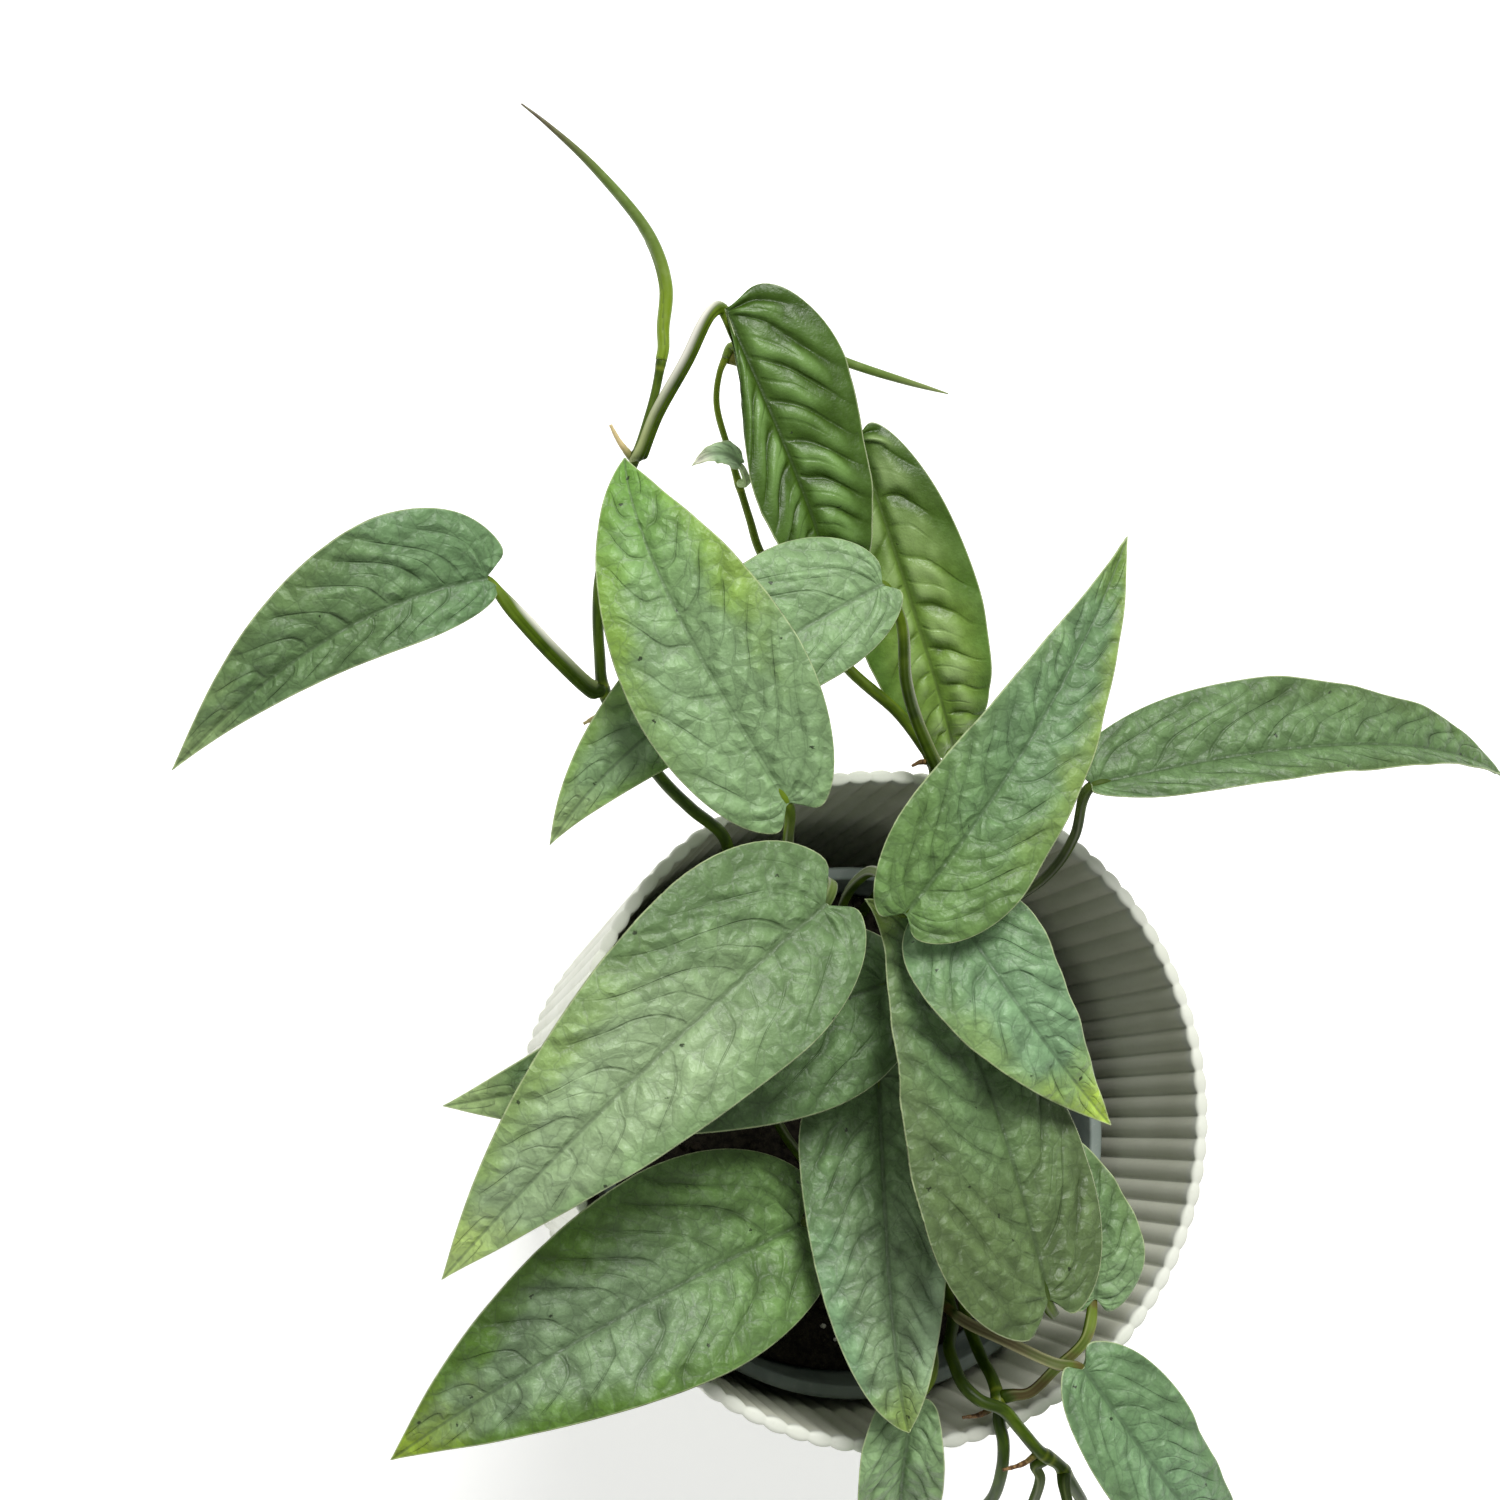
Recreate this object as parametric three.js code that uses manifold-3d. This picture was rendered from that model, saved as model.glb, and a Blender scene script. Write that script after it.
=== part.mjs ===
// Cebu blue pothos (Epipremnum pinnatum) in a nursery pot, standing loose in a fluted cover pot.
// Millimetres, +Z up. The origin is the centre of the cover pot's foot, on the surface it stands on.
// Each leaf is one piece with its petiole, and each vine is one piece with its aerial roots.
import * as THREE from 'three';
import { mergeVertices } from 'three/addons/utils/BufferGeometryUtils.js';
import Module from 'manifold-3d';

const wasm = await Module();
wasm.setup();

// ---- driving dimensions -------------------------------------------------------------------

const GAP = 0.3; // clearance between pieces that touch
const SEAT_GAP = 0.4; // from a stem's drawn radius to a petiole's foot
const HOLE_GAP = 0.9; // round a rooted stem

const COVER = {
  radius: 72.5, // outside of the flutes at the rim
  height: 140,
  taper: 9.5, // how much smaller the radius is at the foot
  wall: 3.1,
  floor: 4,
  flutes: 90,
  fluteDepth: 0.9,
};

const NURSERY = {
  centre: [1, -5],
  radius: 60, // outside of the rim band
  foot: 46,
  height: 101.7,
  wall: 1.2,
  bandHeight: 9,
  bandWidth: 3,
  floor: 1.5,
  holes: 6,
  holeRadius: 4,
  holeCircle: 28,
};

const SOIL_DROP = 10; // from the nursery rim down to the soil
const SOIL_DOME = 2;
const ROOTED = 12; // how deep a stem stands in the soil

const VINE_RADIUS = 1.4;
const CROWN_RADIUS = 1.8;
const PETIOLE_RADIUS = 1.15;
const BLADE_HALF_THICKNESS = 0.4;
const LOBE = 0.3; // how far a basal lobe reaches behind the petiole, as a share of its half width
const SINUS = 0.22; // width of the notch between the lobes
const BASE_ROWS = 4;
const TIP_ROWS = 6;

const COLOURS = {
  cover: { color: 0xe4e2d6, roughness: 0.75, metalness: 0 },
  nursery: { color: 0x55605f, roughness: 0.6, metalness: 0 },
  soil: { color: 0x14100d, roughness: 1, metalness: 0 },
  stem: { color: 0x46602c, roughness: 0.55, metalness: 0 },
  youngLeaf: { color: 0x7c9a4e, roughness: 0.5, metalness: 0 },
  silverLeaf: { color: 0x71907a, roughness: 0.5, metalness: 0 },
  greenLeaf: { color: 0x4f7f35, roughness: 0.45, metalness: 0 },
};

const NURSERY_FOOT_Z = COVER.floor + GAP;
const NURSERY_RIM_Z = NURSERY_FOOT_Z + NURSERY.height;
const SOIL_Z = NURSERY_RIM_Z - SOIL_DROP;
const ROOT_Z = SOIL_Z - ROOTED;

// ---- the stems: the points that each centreline passes through ------------------------------

// A trailing vine may carry short aerial roots, each a list of points that starts in the stem.
const VINES = {
  vine_1: {
    points: [[-26, 34, ROOT_Z], [-28, 38, 106], [-33, 46, 126], [-39, 56, 143.5], [-47, 61, 148],
      [-54, 67, 150], [-66, 83, 152], [-68, 92, 155], [-69, 105, 159], [-67, 118, 164],
      [-63, 131, 169], [-60, 143, 172], [-59, 150, 174]],
    roots: [[[-64, 130, 168.5], [-67, 133, 170], [-69, 136, 171]],
      [[-65, 81, 151.7], [-68, 79, 151.2], [-70.5, 77.5, 150.8]]],
  },
  vine_2: {
    points: [[6, 44, ROOT_Z], [6, 48, 106], [7, 56, 125], [8, 63, 139], [8, 72, 145],
      [3.6, 77.7, 148], [-1.8, 83.4, 149.5], [-13, 92, 151], [-24.5, 105.5, 151.5], [-33, 116, 153],
      [-36, 123, 155], [-41, 135, 159], [-45, 145, 163], [-45, 151, 166], [-44, 154, 168]],
    roots: [[[7, 73.5, 145.4], [4, 73, 147], [2, 72, 148]]],
  },
  vine_3: {
    points: [[22, -26, ROOT_Z], [21, -32, 104], [18, -41, 118], [16, -46, 128], [12, -51, 137],
      [11, -54, 143], [12, -58, 146], [15, -61, 147.5], [20, -63, 147.5], [24, -67, 146.5],
      [29, -72, 144.5], [34, -75, 142], [39, -80, 137], [44, -85, 130], [48, -89, 118],
      [50, -92, 102], [49, -94, 86]],
    roots: [[[29, -72, 144.5], [26, -74.5, 143], [22, -76, 141]]],
  },
  vine_4: {
    points: [[30, -30, ROOT_Z], [28, -37, 101], [24, -45, 112], [22, -49, 122], [21, -54, 132],
      [21, -58, 139], [21, -62, 142.3], [21, -66, 142.3], [22, -70, 141.8], [23, -76, 138],
      [24, -84, 128], [23, -90, 113], [20, -94, 96]],
    roots: [[[20.5, -62.5, 142.3], [17, -64.5, 142], [13, -65, 142]]],
  },
};

// The rooted cuttings in the middle of the pot: short upright stems that carry the crown leaves.
const CROWN_STEMS = {
  crown_stem_1: [[-24, 10, ROOT_Z], [-24, 13, 110], [-26, 18, 130]],
  crown_stem_2: [[2, 16, ROOT_Z], [3, 20, 112], [4, 25, 132]],
  crown_stem_3: [[7, -20, ROOT_Z], [9, -24, 110], [10, -27, 126]],
};

// ---- the leaves ---------------------------------------------------------------------------
// base, middle and tip lie on the midrib. left and right are the half widths, seen from above
// with the tip ahead. roll lifts the right half and lowers the left, fold lifts both halves, and
// belly is where the blade is widest. A right half may have its own belly, and a shoulder that says
// how slowly it widens. A left half may have its own taper, which is smaller the sooner it narrows. The petiole springs from the stem at a point near at, and passes through
// the via points.

const LEAVES = {
  leaf_far_left: {
    base: [-93, 103, 168], middle: [-124, 89, 168], tip: [-153, 64, 152],
    left: 9, right: 17.5, roll: 10, fold: 12, belly: 0.26,
    stem: 'vine_1', at: [-66.3, 85, 152.7], via: [[-78, 88.5, 161], [-87, 96, 166]],
  },
  leaf_upper: {
    base: [-35, 57, 184], middle: [-61, 96, 192], tip: [-69, 124, 188],
    left: 17, right: 18.5, roll: 12, fold: 8, belly: 0.27,
    stem: 'crown_stem_2', at: [3, 18, 108], via: [[-12, 30, 124], [-24, 44, 145], [-30, 52, 164]],
  },
  leaf_top: {
    base: [-48, 158, 184], middle: [-25.7, 113, 175], tip: [-20.5, 99, 160.5],
    left: 19.3, right: 11.7, roll: 4, fold: 14, belly: 0.15, rightBelly: 0.34, rightShoulder: 4.5,
    leftTaper: 1.15, green: true,
    stem: 'vine_1', at: [-63, 131, 169], via: [[-60, 137, 176], [-55, 147, 182], [-51, 156, 185]],
  },
  leaf_under_upper: {
    base: [-13.9, 103.6, 180], middle: [-57, 75, 176], tip: [-79, 50, 163],
    left: 12, right: 17.5, roll: 0, fold: 6, belly: 0.16,
    stem: 'vine_2', at: [7, 74, 145.5], via: [[0, 80, 157], [-5.5, 86.5, 167], [-10, 97.5, 178]],
  },
  leaf_behind: {
    base: [-14, 141, 162], middle: [7, 93, 148], tip: [17, 77, 132],
    left: 15.2, right: 14, roll: -12, fold: 8, belly: 0.33, green: true,
    stem: 'vine_2', at: [-44, 154, 168], via: [[-38, 155, 167.5], [-29, 153.5, 167], [-19, 148, 165]],
  },
  leaf_right: {
    base: [-14, 35, 192], middle: [12, 73, 200], tip: [32, 112, 198],
    left: 14, right: 16, roll: -4, fold: 12, belly: 0.18,
    stem: 'crown_stem_2', at: [3, 22, 118], via: [[-12, 40, 140], [-14, 46, 168], [-15, 41, 187]],
  },
  leaf_far_right: {
    base: [35, 66, 168], middle: [97, 77, 170], tip: [144, 75, 150],
    left: 16.5, right: 8.5, roll: 18, fold: 15, belly: 0.28,
    stem: 'crown_stem_2', at: [3, 20, 113], via: [[28, 42, 118], [37, 50, 134], [37, 57, 153]],
  },
  leaf_mid_right: {
    base: [-1, 37, 184], middle: [13, 14, 189], tip: [35, -5, 174],
    left: 13, right: 15.5, roll: -4, fold: 6, belly: 0.16,
    stem: 'crown_stem_2', at: [4, 24, 127], via: [[5, 35, 142], [3, 43, 160], [0, 42, 178]],
  },
  leaf_dark: {
    base: [20, -39, 176], middle: [2, 15.5, 178], tip: [-19, 39, 182],
    left: 24.5, right: 16.5, roll: -12, fold: 6, belly: 0.15,
    stem: 'crown_stem_3', at: [9, -25, 112], via: [[17, -27, 126], [24, -37, 150], [23, -42, 170]],
  },
  leaf_folded: {
    base: [-7, 6, 150], middle: [-7, -43, 158], tip: [-3, -66, 156],
    left: 14.5, right: 18, roll: -16, fold: 18, belly: 0.14,
    stem: 'crown_stem_1', at: [-24, 13, 113], via: [[-16, 13, 122], [-8, 14, 140]],
  },
  leaf_shaded: {
    base: [-9, 24, 164], middle: [-57, 8, 160], tip: [-97, -1, 140],
    left: 20, right: 18, roll: 0, fold: 6, belly: 0.2,
    stem: 'crown_stem_1', at: [-25, 16, 123], via: [[-14, 24, 140], [-5, 27, 158]],
  },
  leaf_broad: {
    base: [-29, 37, 190], middle: [-71, -1, 191], tip: [-99, -34, 168],
    left: 18, right: 22.5, roll: 0, fold: 9, belly: 0.18,
    stem: 'crown_stem_1', at: [-26, 17.5, 128.5], via: [[-27, 36, 142], [-28, 42, 166], [-27, 41, 186]],
  },
  leaf_lower_left: {
    base: [-22, -25, 143], middle: [-70, -47, 151], tip: [-105, -71, 134],
    left: 20, right: 24, roll: -8, fold: 10, belly: 0.24,
    stem: 'crown_stem_1', at: [-24, 11, 102], via: [[-20, -6, 120], [-14, -21, 136]],
  },
  leaf_small: {
    base: [41, -41, 148], middle: [38, -22, 151], tip: [28, 0, 150],
    left: 11, right: 11, roll: 0, fold: 6, belly: 0.3,
    stem: 'vine_4', at: [21, -61, 141.8], via: [[27, -60, 144.5], [32, -55, 147], [38, -49, 149]],
  },
  leaf_lower_right: {
    base: [34, -54, 158], middle: [63, -87, 146], tip: [90, -106, 112],
    left: 14, right: 13.5, roll: 10, fold: 10, belly: 0.2,
    stem: 'crown_stem_3', at: [9, -24, 108],
    via: [[10, -35, 116], [14, -45, 138], [20, -49, 151], [28, -53, 157]],
  },
  leaf_hanging: {
    base: [1, -62, 146], middle: [1, -80, 137], tip: [12, -107, 98],
    left: 9, right: 12, roll: -10, fold: 30, belly: 0.4,
    stem: 'crown_stem_3', at: [8, -22, 103], via: [[3, -34, 118], [7, -46, 136], [5, -56, 146]],
  },
  leaf_trailing_1: {
    base: [41, -95, 139], middle: [60, -96, 136], tip: [80, -104, 114],
    left: 11, right: 11, roll: 0, fold: 10, belly: 0.25,
    stem: 'vine_3', at: [36, -76.5, 140.4], via: [[36, -84, 142.5], [38, -92, 142]],
  },
  leaf_trailing_2: {
    base: [34, -95, 119], middle: [38, -108, 96], tip: [34, -112, 58],
    left: 13, right: 13, roll: 0, fold: 12, belly: 0.25,
    stem: 'vine_3', at: [31, -73.5, 143.6], via: [[31, -78, 139], [32, -86, 130]],
  },
  leaf_trailing_3: {
    base: [10, -100, 92], middle: [-4, -108, 72], tip: [-10, -104, 38],
    left: 13, right: 13, roll: 0, fold: 12, belly: 0.25,
    stem: 'vine_4', at: [20, -94, 96], via: [[16, -98, 94]],
  },
  young_leaf: {
    base: [-40, 132, 164], middle: [-45.5, 133.3, 166], tip: [-50.8, 130.3, 165],
    left: 2.7, right: 2.7, roll: 0, fold: 15, belly: 0.3, green: true,
    stem: 'vine_2', at: [-38.3, 129.5, 157.8], via: [[-38.6, 131, 161]],
  },
};

// The rolled new leaves: the points of the centreline, and the radius at the thickest.
const ROLLED_LEAVES = {
  rolled_leaf_1: {
    stem: 'vine_1', radius: 1.5,
    points: [[-59, 156, 175.5], [-59, 164, 178], [-63, 173, 181], [-75, 184, 186],
      [-86, 191, 190], [-91, 194, 191]],
  },
  rolled_leaf_2: {
    stem: 'vine_2', radius: 1.1,
    points: [[-42.5, 155.5, 170], [-37, 156.5, 172], [-29, 156, 173], [-18, 153, 172],
      [-6, 151, 170], [5, 150, 167]],
  },
};

// ---- geometry helpers -----------------------------------------------------------------------

const vector = (p) => new THREE.Vector3(...p);
const radians = (degrees) => degrees * Math.PI / 180;

/** The geometry with its shared corners merged, so that it is one closed mesh. */
function welded(geometry) {
  const bare = geometry.clone();
  for (const name of Object.keys(bare.attributes)) {
    if (name !== 'position') bare.deleteAttribute(name);
  }
  return mergeVertices(bare, 1e-4);
}

function toSolid(geometry) {
  const merged = welded(geometry);
  return new wasm.Manifold(new wasm.Mesh({
    numProp: 3,
    vertProperties: new Float32Array(merged.attributes.position.array),
    triVerts: new Uint32Array(merged.index.array),
  }));
}

function fromSolid(solid) {
  const mesh = solid.getMesh();
  const geometry = new THREE.BufferGeometry();
  geometry.setAttribute('position', new THREE.BufferAttribute(mesh.vertProperties, 3));
  geometry.setIndex(new THREE.BufferAttribute(mesh.triVerts, 1));
  return geometry;
}

/** A round bar along a curve. thickness(share) scales its radius from start to end. */
function bar(curve, radius, steps, sides, thickness = () => 1) {
  const corners = [];
  for (let k = 0; k < sides; k++) {
    const angle = 2 * Math.PI * k / sides;
    corners.push(new THREE.Vector2(radius * Math.cos(angle), radius * Math.sin(angle)));
  }
  const section = new THREE.Shape(corners);
  const geometry = new THREE.ExtrudeGeometry(section, { steps, extrudePath: curve });
  const centres = curve.getSpacedPoints(steps);
  const position = geometry.attributes.position;
  const corner = new THREE.Vector3();
  for (let i = 0; i < position.count; i++) {
    corner.fromBufferAttribute(position, i);
    const ring = nearestIndex(centres, corner);
    corner.sub(centres[ring]).multiplyScalar(thickness(ring / steps)).add(centres[ring]);
    position.setXYZ(i, corner.x, corner.y, corner.z);
  }
  return geometry;
}

function nearestIndex(points, target) {
  let best = 0;
  for (let i = 1; i < points.length; i++) {
    if (points[i].distanceToSquared(target) < points[best].distanceToSquared(target)) best = i;
  }
  return best;
}

const smooth = (points) => new THREE.CatmullRomCurve3(points.map(vector), false, 'centripetal');

const stemCurves = {};
for (const [name, vine] of Object.entries(VINES)) stemCurves[name] = smooth(vine.points);
for (const [name, points] of Object.entries(CROWN_STEMS)) stemCurves[name] = smooth(points);

const stemRadius = (name) => (name in VINES ? VINE_RADIUS : CROWN_RADIUS);
const stemSteps = (name) => (name in VINES ? Math.round(1.6 * VINES[name].points.length) : 6);

// ---- pots and soil --------------------------------------------------------------------------

/** The cover pot: a turned shell whose wall is drawn out into flutes, inside and outside alike. */
function coverPot() {
  const inner = COVER.radius - COVER.wall;
  const slope = COVER.taper / COVER.height;
  const innerFoot = inner - slope * (COVER.height - COVER.floor);
  const profile = [
    [0, 0],
    [COVER.radius - COVER.taper, 0],
    [COVER.radius, COVER.height],
    [inner, COVER.height],
    [innerFoot, COVER.floor],
    [0, COVER.floor],
  ];
  const stepsPerFlute = 3;
  const geometry = turned(profile, COVER.flutes * stepsPerFlute);
  const position = geometry.attributes.position;
  for (let i = 0; i < position.count; i++) {
    const x = position.getX(i);
    const y = position.getY(i);
    const z = position.getZ(i);
    const radius = Math.hypot(x, y);
    if (radius < 1) continue;
    const outside = COVER.radius - slope * (COVER.height - z);
    const isOutside = Math.abs(radius - outside) < 0.1;
    const valley = 1 - Math.abs(Math.cos(COVER.flutes * Math.atan2(y, x) / 2));
    const shift = (isOutside ? -1 : 1) * COVER.fluteDepth * valley;
    const scale = (radius + shift) / radius;
    position.setXYZ(i, x * scale, y * scale, z);
  }
  return geometry;
}

/** A closed profile of [radius, height] points, turned about Z. */
function turned(profile, segments) {
  const points = profile.map(([radius, height]) => new THREE.Vector2(radius, height));
  const geometry = new THREE.LatheGeometry(points, segments);
  geometry.rotateX(Math.PI / 2);
  return welded(geometry);
}

/** A thin plastic grower's pot: a tapered wall, a band round the rim and drain holes. */
function nurseryPot() {
  const { radius, foot, height, wall, bandHeight, bandWidth, floor } = NURSERY;
  const neck = radius - bandWidth;
  const shell = toSolid(turned([
    [0, 0],
    [foot, 0],
    [neck, height - bandHeight],
    [radius, height - bandHeight],
    [radius, height],
    [neck, height],
    [neck - wall, height - bandHeight],
    [foot - wall, floor],
    [0, floor],
  ], 48));
  let drained = shell;
  for (let k = 0; k < NURSERY.holes; k++) {
    const angle = 2 * Math.PI * k / NURSERY.holes;
    const drill = new THREE.CylinderGeometry(NURSERY.holeRadius, NURSERY.holeRadius, 4 * floor, 12);
    drill.rotateX(Math.PI / 2);
    drill.translate(NURSERY.holeCircle * Math.cos(angle), NURSERY.holeCircle * Math.sin(angle), 0);
    drained = drained.subtract(toSolid(drill));
  }
  return fromSolid(drained).translate(...NURSERY.centre, NURSERY_FOOT_Z);
}

/** The soil fills the nursery pot, with a hole where each stem is rooted. */
function soil() {
  const { radius, foot, height, wall, bandHeight, bandWidth, floor } = NURSERY;
  const neckInside = radius - bandWidth - wall;
  const footInside = foot - wall;
  const bottom = floor + GAP;
  const top = height - SOIL_DROP;
  const slope = (neckInside - footInside) / (height - bandHeight - floor);
  const reach = (z) => footInside + slope * (z - floor) - 2 * GAP;
  let earth = toSolid(turned([
    [0, bottom],
    [reach(bottom), bottom],
    [reach(top - SOIL_DOME), top - SOIL_DOME],
    [reach(top) * 0.8, top - SOIL_DOME * 0.3],
    [0, top],
  ], 36).translate(...NURSERY.centre, NURSERY_FOOT_Z));
  for (const [name, curve] of Object.entries(stemCurves)) {
    const start = curve.getPoint(0);
    const behind = start.clone().addScaledVector(curve.getTangent(0), -GAP);
    const rooted = curve.getSpacedPoints(stemSteps(name)).filter((p) => p.z < SOIL_Z + ROOTED);
    const hole = new THREE.CatmullRomCurve3([behind, ...rooted], false, 'centripetal');
    earth = earth.subtract(toSolid(bar(hole, stemRadius(name) + HOLE_GAP, 5, 8)));
  }
  return fromSolid(earth);
}

// ---- stems ----------------------------------------------------------------------------------

function vine(name) {
  let solid = toSolid(bar(stemCurves[name], VINE_RADIUS, stemSteps(name), 7));
  for (const root of VINES[name].roots) {
    const taper = (share) => 1 - 0.7 * share;
    solid = solid.add(toSolid(bar(smooth(root), 0.9, 4, 6, taper)));
  }
  return fromSolid(solid);
}

const crownStem = (name) => bar(stemCurves[name], CROWN_RADIUS, stemSteps(name), 8);

/** Where a petiole springs: a point just clear of the stem, and the direction away from it. */
function seat(stemName, near, towards) {
  const curve = stemCurves[stemName];
  const samples = curve.getSpacedPoints(200);
  const share = nearestIndex(samples, vector(near)) / 200;
  const centre = curve.getPointAt(share);
  const along = curve.getTangentAt(share);
  const away = vector(towards).sub(centre);
  away.addScaledVector(along, -away.dot(along)).normalize();
  const point = centre.clone().addScaledVector(away, stemRadius(stemName) + SEAT_GAP);
  return { point, away };
}

// ---- leaves -----------------------------------------------------------------------------------

/**
 * Rows of one half (side 1 is the right) from the sinus to the tip: rib and margin say how far
 * along, width how far out.
 */
function bladeRows(leaf, side) {
  const belly = (side > 0 && leaf.rightBelly) || leaf.belly;
  const shoulder = (side > 0 && leaf.rightShoulder) || 0.9;
  const taper = (side < 0 && leaf.leftTaper) || 1.6;
  const rows = [];
  for (let k = 0; k <= BASE_ROWS; k++) {
    const turn = (k / BASE_ROWS) * Math.PI / 2;
    const notch = Math.exp(-((Math.sin(turn) / SINUS) ** 2));
    rows.push({
      rib: 0.62 * leaf.belly * k / BASE_ROWS,
      margin: belly * (1 - Math.cos(turn)),
      behind: Math.cos(turn) - notch,
      width: Math.sin(turn) ** shoulder,
    });
  }
  for (let k = 1; k <= TIP_ROWS; k++) {
    const share = k / TIP_ROWS;
    rows.push({
      rib: 0.62 * leaf.belly + (1 - 0.62 * leaf.belly) * share,
      margin: belly + (1 - belly) * share,
      behind: 0,
      width: (1 - share ** taper) ** 1.1,
    });
  }
  return rows;
}

/** The midrib as a curve that passes through its middle point halfway. */
function midrib(leaf) {
  const [base, middle, tip] = [leaf.base, leaf.middle, leaf.tip].map(vector);
  const control = middle.clone().multiplyScalar(2).addScaledVector(base.clone().add(tip), -0.5);
  return new THREE.QuadraticBezierCurve3(base, control, tip);
}

/** The directions at one place of the midrib: along it, out to the right, and off the face. */
function bladeAxes(curve, share, roll) {
  const along = curve.getTangent(share);
  const right = new THREE.Vector3().crossVectors(along, new THREE.Vector3(0, 0, 1)).normalize();
  right.applyAxisAngle(along, radians(-roll));
  const face = new THREE.Vector3().crossVectors(right, along);
  return { along, right, face };
}

/** The margin point of a row, on the right (side 1) or on the left (side -1). */
function marginPoint(leaf, curve, row, side) {
  const halfWidth = side > 0 ? leaf.right : leaf.left;
  const { along, right, face } = bladeAxes(curve, row.margin, leaf.roll);
  return curve.getPoint(row.margin)
    .addScaledVector(along, -LOBE * halfWidth * row.behind)
    .addScaledVector(right, side * halfWidth * row.width * Math.cos(radians(leaf.fold)))
    .addScaledVector(face, halfWidth * row.width * Math.sin(radians(leaf.fold)));
}

/** The blade: a thin lens-shaped sheet, two strips wide on each side of the midrib. */
function blade(leaf) {
  const halves = [bladeRows(leaf, -1), bladeRows(leaf, 1)];
  const rows = halves[0];
  const curve = midrib(leaf);
  const across = [-1, -0.5, 0, 0.5, 1];
  const last = rows.length - 1;
  const points = [];
  const keys = new Map();
  const corner = (r, c, layer) => {
    const atEnd = r === 0 || r === last;
    const atMargin = Math.abs(across[c]) === 1;
    const key = atEnd ? `${r}` : `${r},${c},${atMargin ? 0 : layer}`;
    if (!keys.has(key)) {
      const side = across[c] < 0 ? -1 : 1;
      const row = halves[side < 0 ? 0 : 1][r];
      const rib = curve.getPoint(row.rib);
      const place = rib.clone();
      if (!atEnd) {
        place.lerp(marginPoint(leaf, curve, row, side), Math.abs(across[c]));
        const { face } = bladeAxes(curve, row.rib, leaf.roll);
        if (!atMargin) place.addScaledVector(face, layer * BLADE_HALF_THICKNESS);
      }
      keys.set(key, points.length);
      points.push(place);
    }
    return keys.get(key);
  };
  const triangles = [];
  const addTriangle = (a, b, c) => {
    if (a !== b && b !== c && c !== a) triangles.push(a, b, c);
  };
  for (let r = 0; r < last; r++) {
    for (let c = 0; c < across.length - 1; c++) {
      for (const layer of [1, -1]) {
        const [p, q] = [corner(r, c, layer), corner(r, c + 1, layer)];
        const [s, t] = [corner(r + 1, c, layer), corner(r + 1, c + 1, layer)];
        if (layer > 0) {
          addTriangle(p, q, t);
          addTriangle(p, t, s);
        } else {
          addTriangle(p, t, q);
          addTriangle(p, s, t);
        }
      }
    }
  }
  const geometry = new THREE.BufferGeometry().setFromPoints(points);
  geometry.setIndex(triangles);
  return geometry;
}

/** The leaf stalk, from its seat on the stem to just under the blade's base. */
function petiole(leaf) {
  const base = vector(leaf.base);
  const first = leaf.via.length > 0 ? leaf.via[0] : leaf.base;
  const { point, away } = seat(leaf.stem, leaf.at, first);
  const knee = point.clone().addScaledVector(away, 1.5);
  const { face } = bladeAxes(midrib(leaf), 0, leaf.roll);
  const end = midrib(leaf).getPoint(0.05).addScaledVector(face, -BLADE_HALF_THICKNESS);
  const route = [point, knee, ...leaf.via.map(vector), base, end];
  const curve = new THREE.CatmullRomCurve3(route, false, 'centripetal');
  const steps = Math.max(3, Math.round(curve.getLength() / 7));
  const scale = leaf.right < 5 ? 0.6 : 1;
  return bar(curve, PETIOLE_RADIUS * scale, steps, 6);
}

const leafBody = (leaf) => fromSolid(toSolid(blade(leaf)).add(toSolid(petiole(leaf))));

/** A rolled new leaf: a spear that starts at the end of its stem and thins to a point. */
function rolledLeaf(spear) {
  const stemEnd = stemCurves[spear.stem].getPoint(1);
  const heading = stemCurves[spear.stem].getTangent(1);
  const start = stemEnd.clone().addScaledVector(heading, GAP);
  const knee = stemEnd.clone().addScaledVector(heading, 2);
  const route = [start, knee, ...spear.points.map(vector)];
  const curve = new THREE.CatmullRomCurve3(route, false, 'centripetal');
  const steps = Math.round(curve.getLength() / 4);
  return bar(curve, spear.radius, steps, 6, (share) => 1 - 0.85 * share ** 1.3);
}

// ---- the assembly -----------------------------------------------------------------------------

const group = new THREE.Group();

function place(name, geometry, look) {
  const mesh = new THREE.Mesh(geometry, new THREE.MeshStandardMaterial(look));
  mesh.name = name;
  group.add(mesh);
}

place('cover_pot', coverPot(), COLOURS.cover);
place('nursery_pot', nurseryPot(), COLOURS.nursery);
place('potting_soil', soil(), COLOURS.soil);
for (const name of Object.keys(VINES)) place(name, vine(name), COLOURS.stem);
for (const name of Object.keys(CROWN_STEMS)) place(name, crownStem(name), COLOURS.stem);
for (const [name, leaf] of Object.entries(LEAVES)) {
  place(name, leafBody(leaf), leaf.green ? COLOURS.greenLeaf : COLOURS.silverLeaf);
}
for (const [name, spear] of Object.entries(ROLLED_LEAVES)) {
  place(name, rolledLeaf(spear), COLOURS.youngLeaf);
}

export default group;
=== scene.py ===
"""A potted cebu blue pothos: the looks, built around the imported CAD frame.

Lengths in the tables are millimetres, in the frame of the part: the origin is the centre of the
cover pot's foot, +Z is up, and +Y points away over the long vines. Shape.build() turns the
finished meshes to metres.
"""
import math

import bpy
import numpy as np
from mathutils import Matrix, Vector, noise


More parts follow.
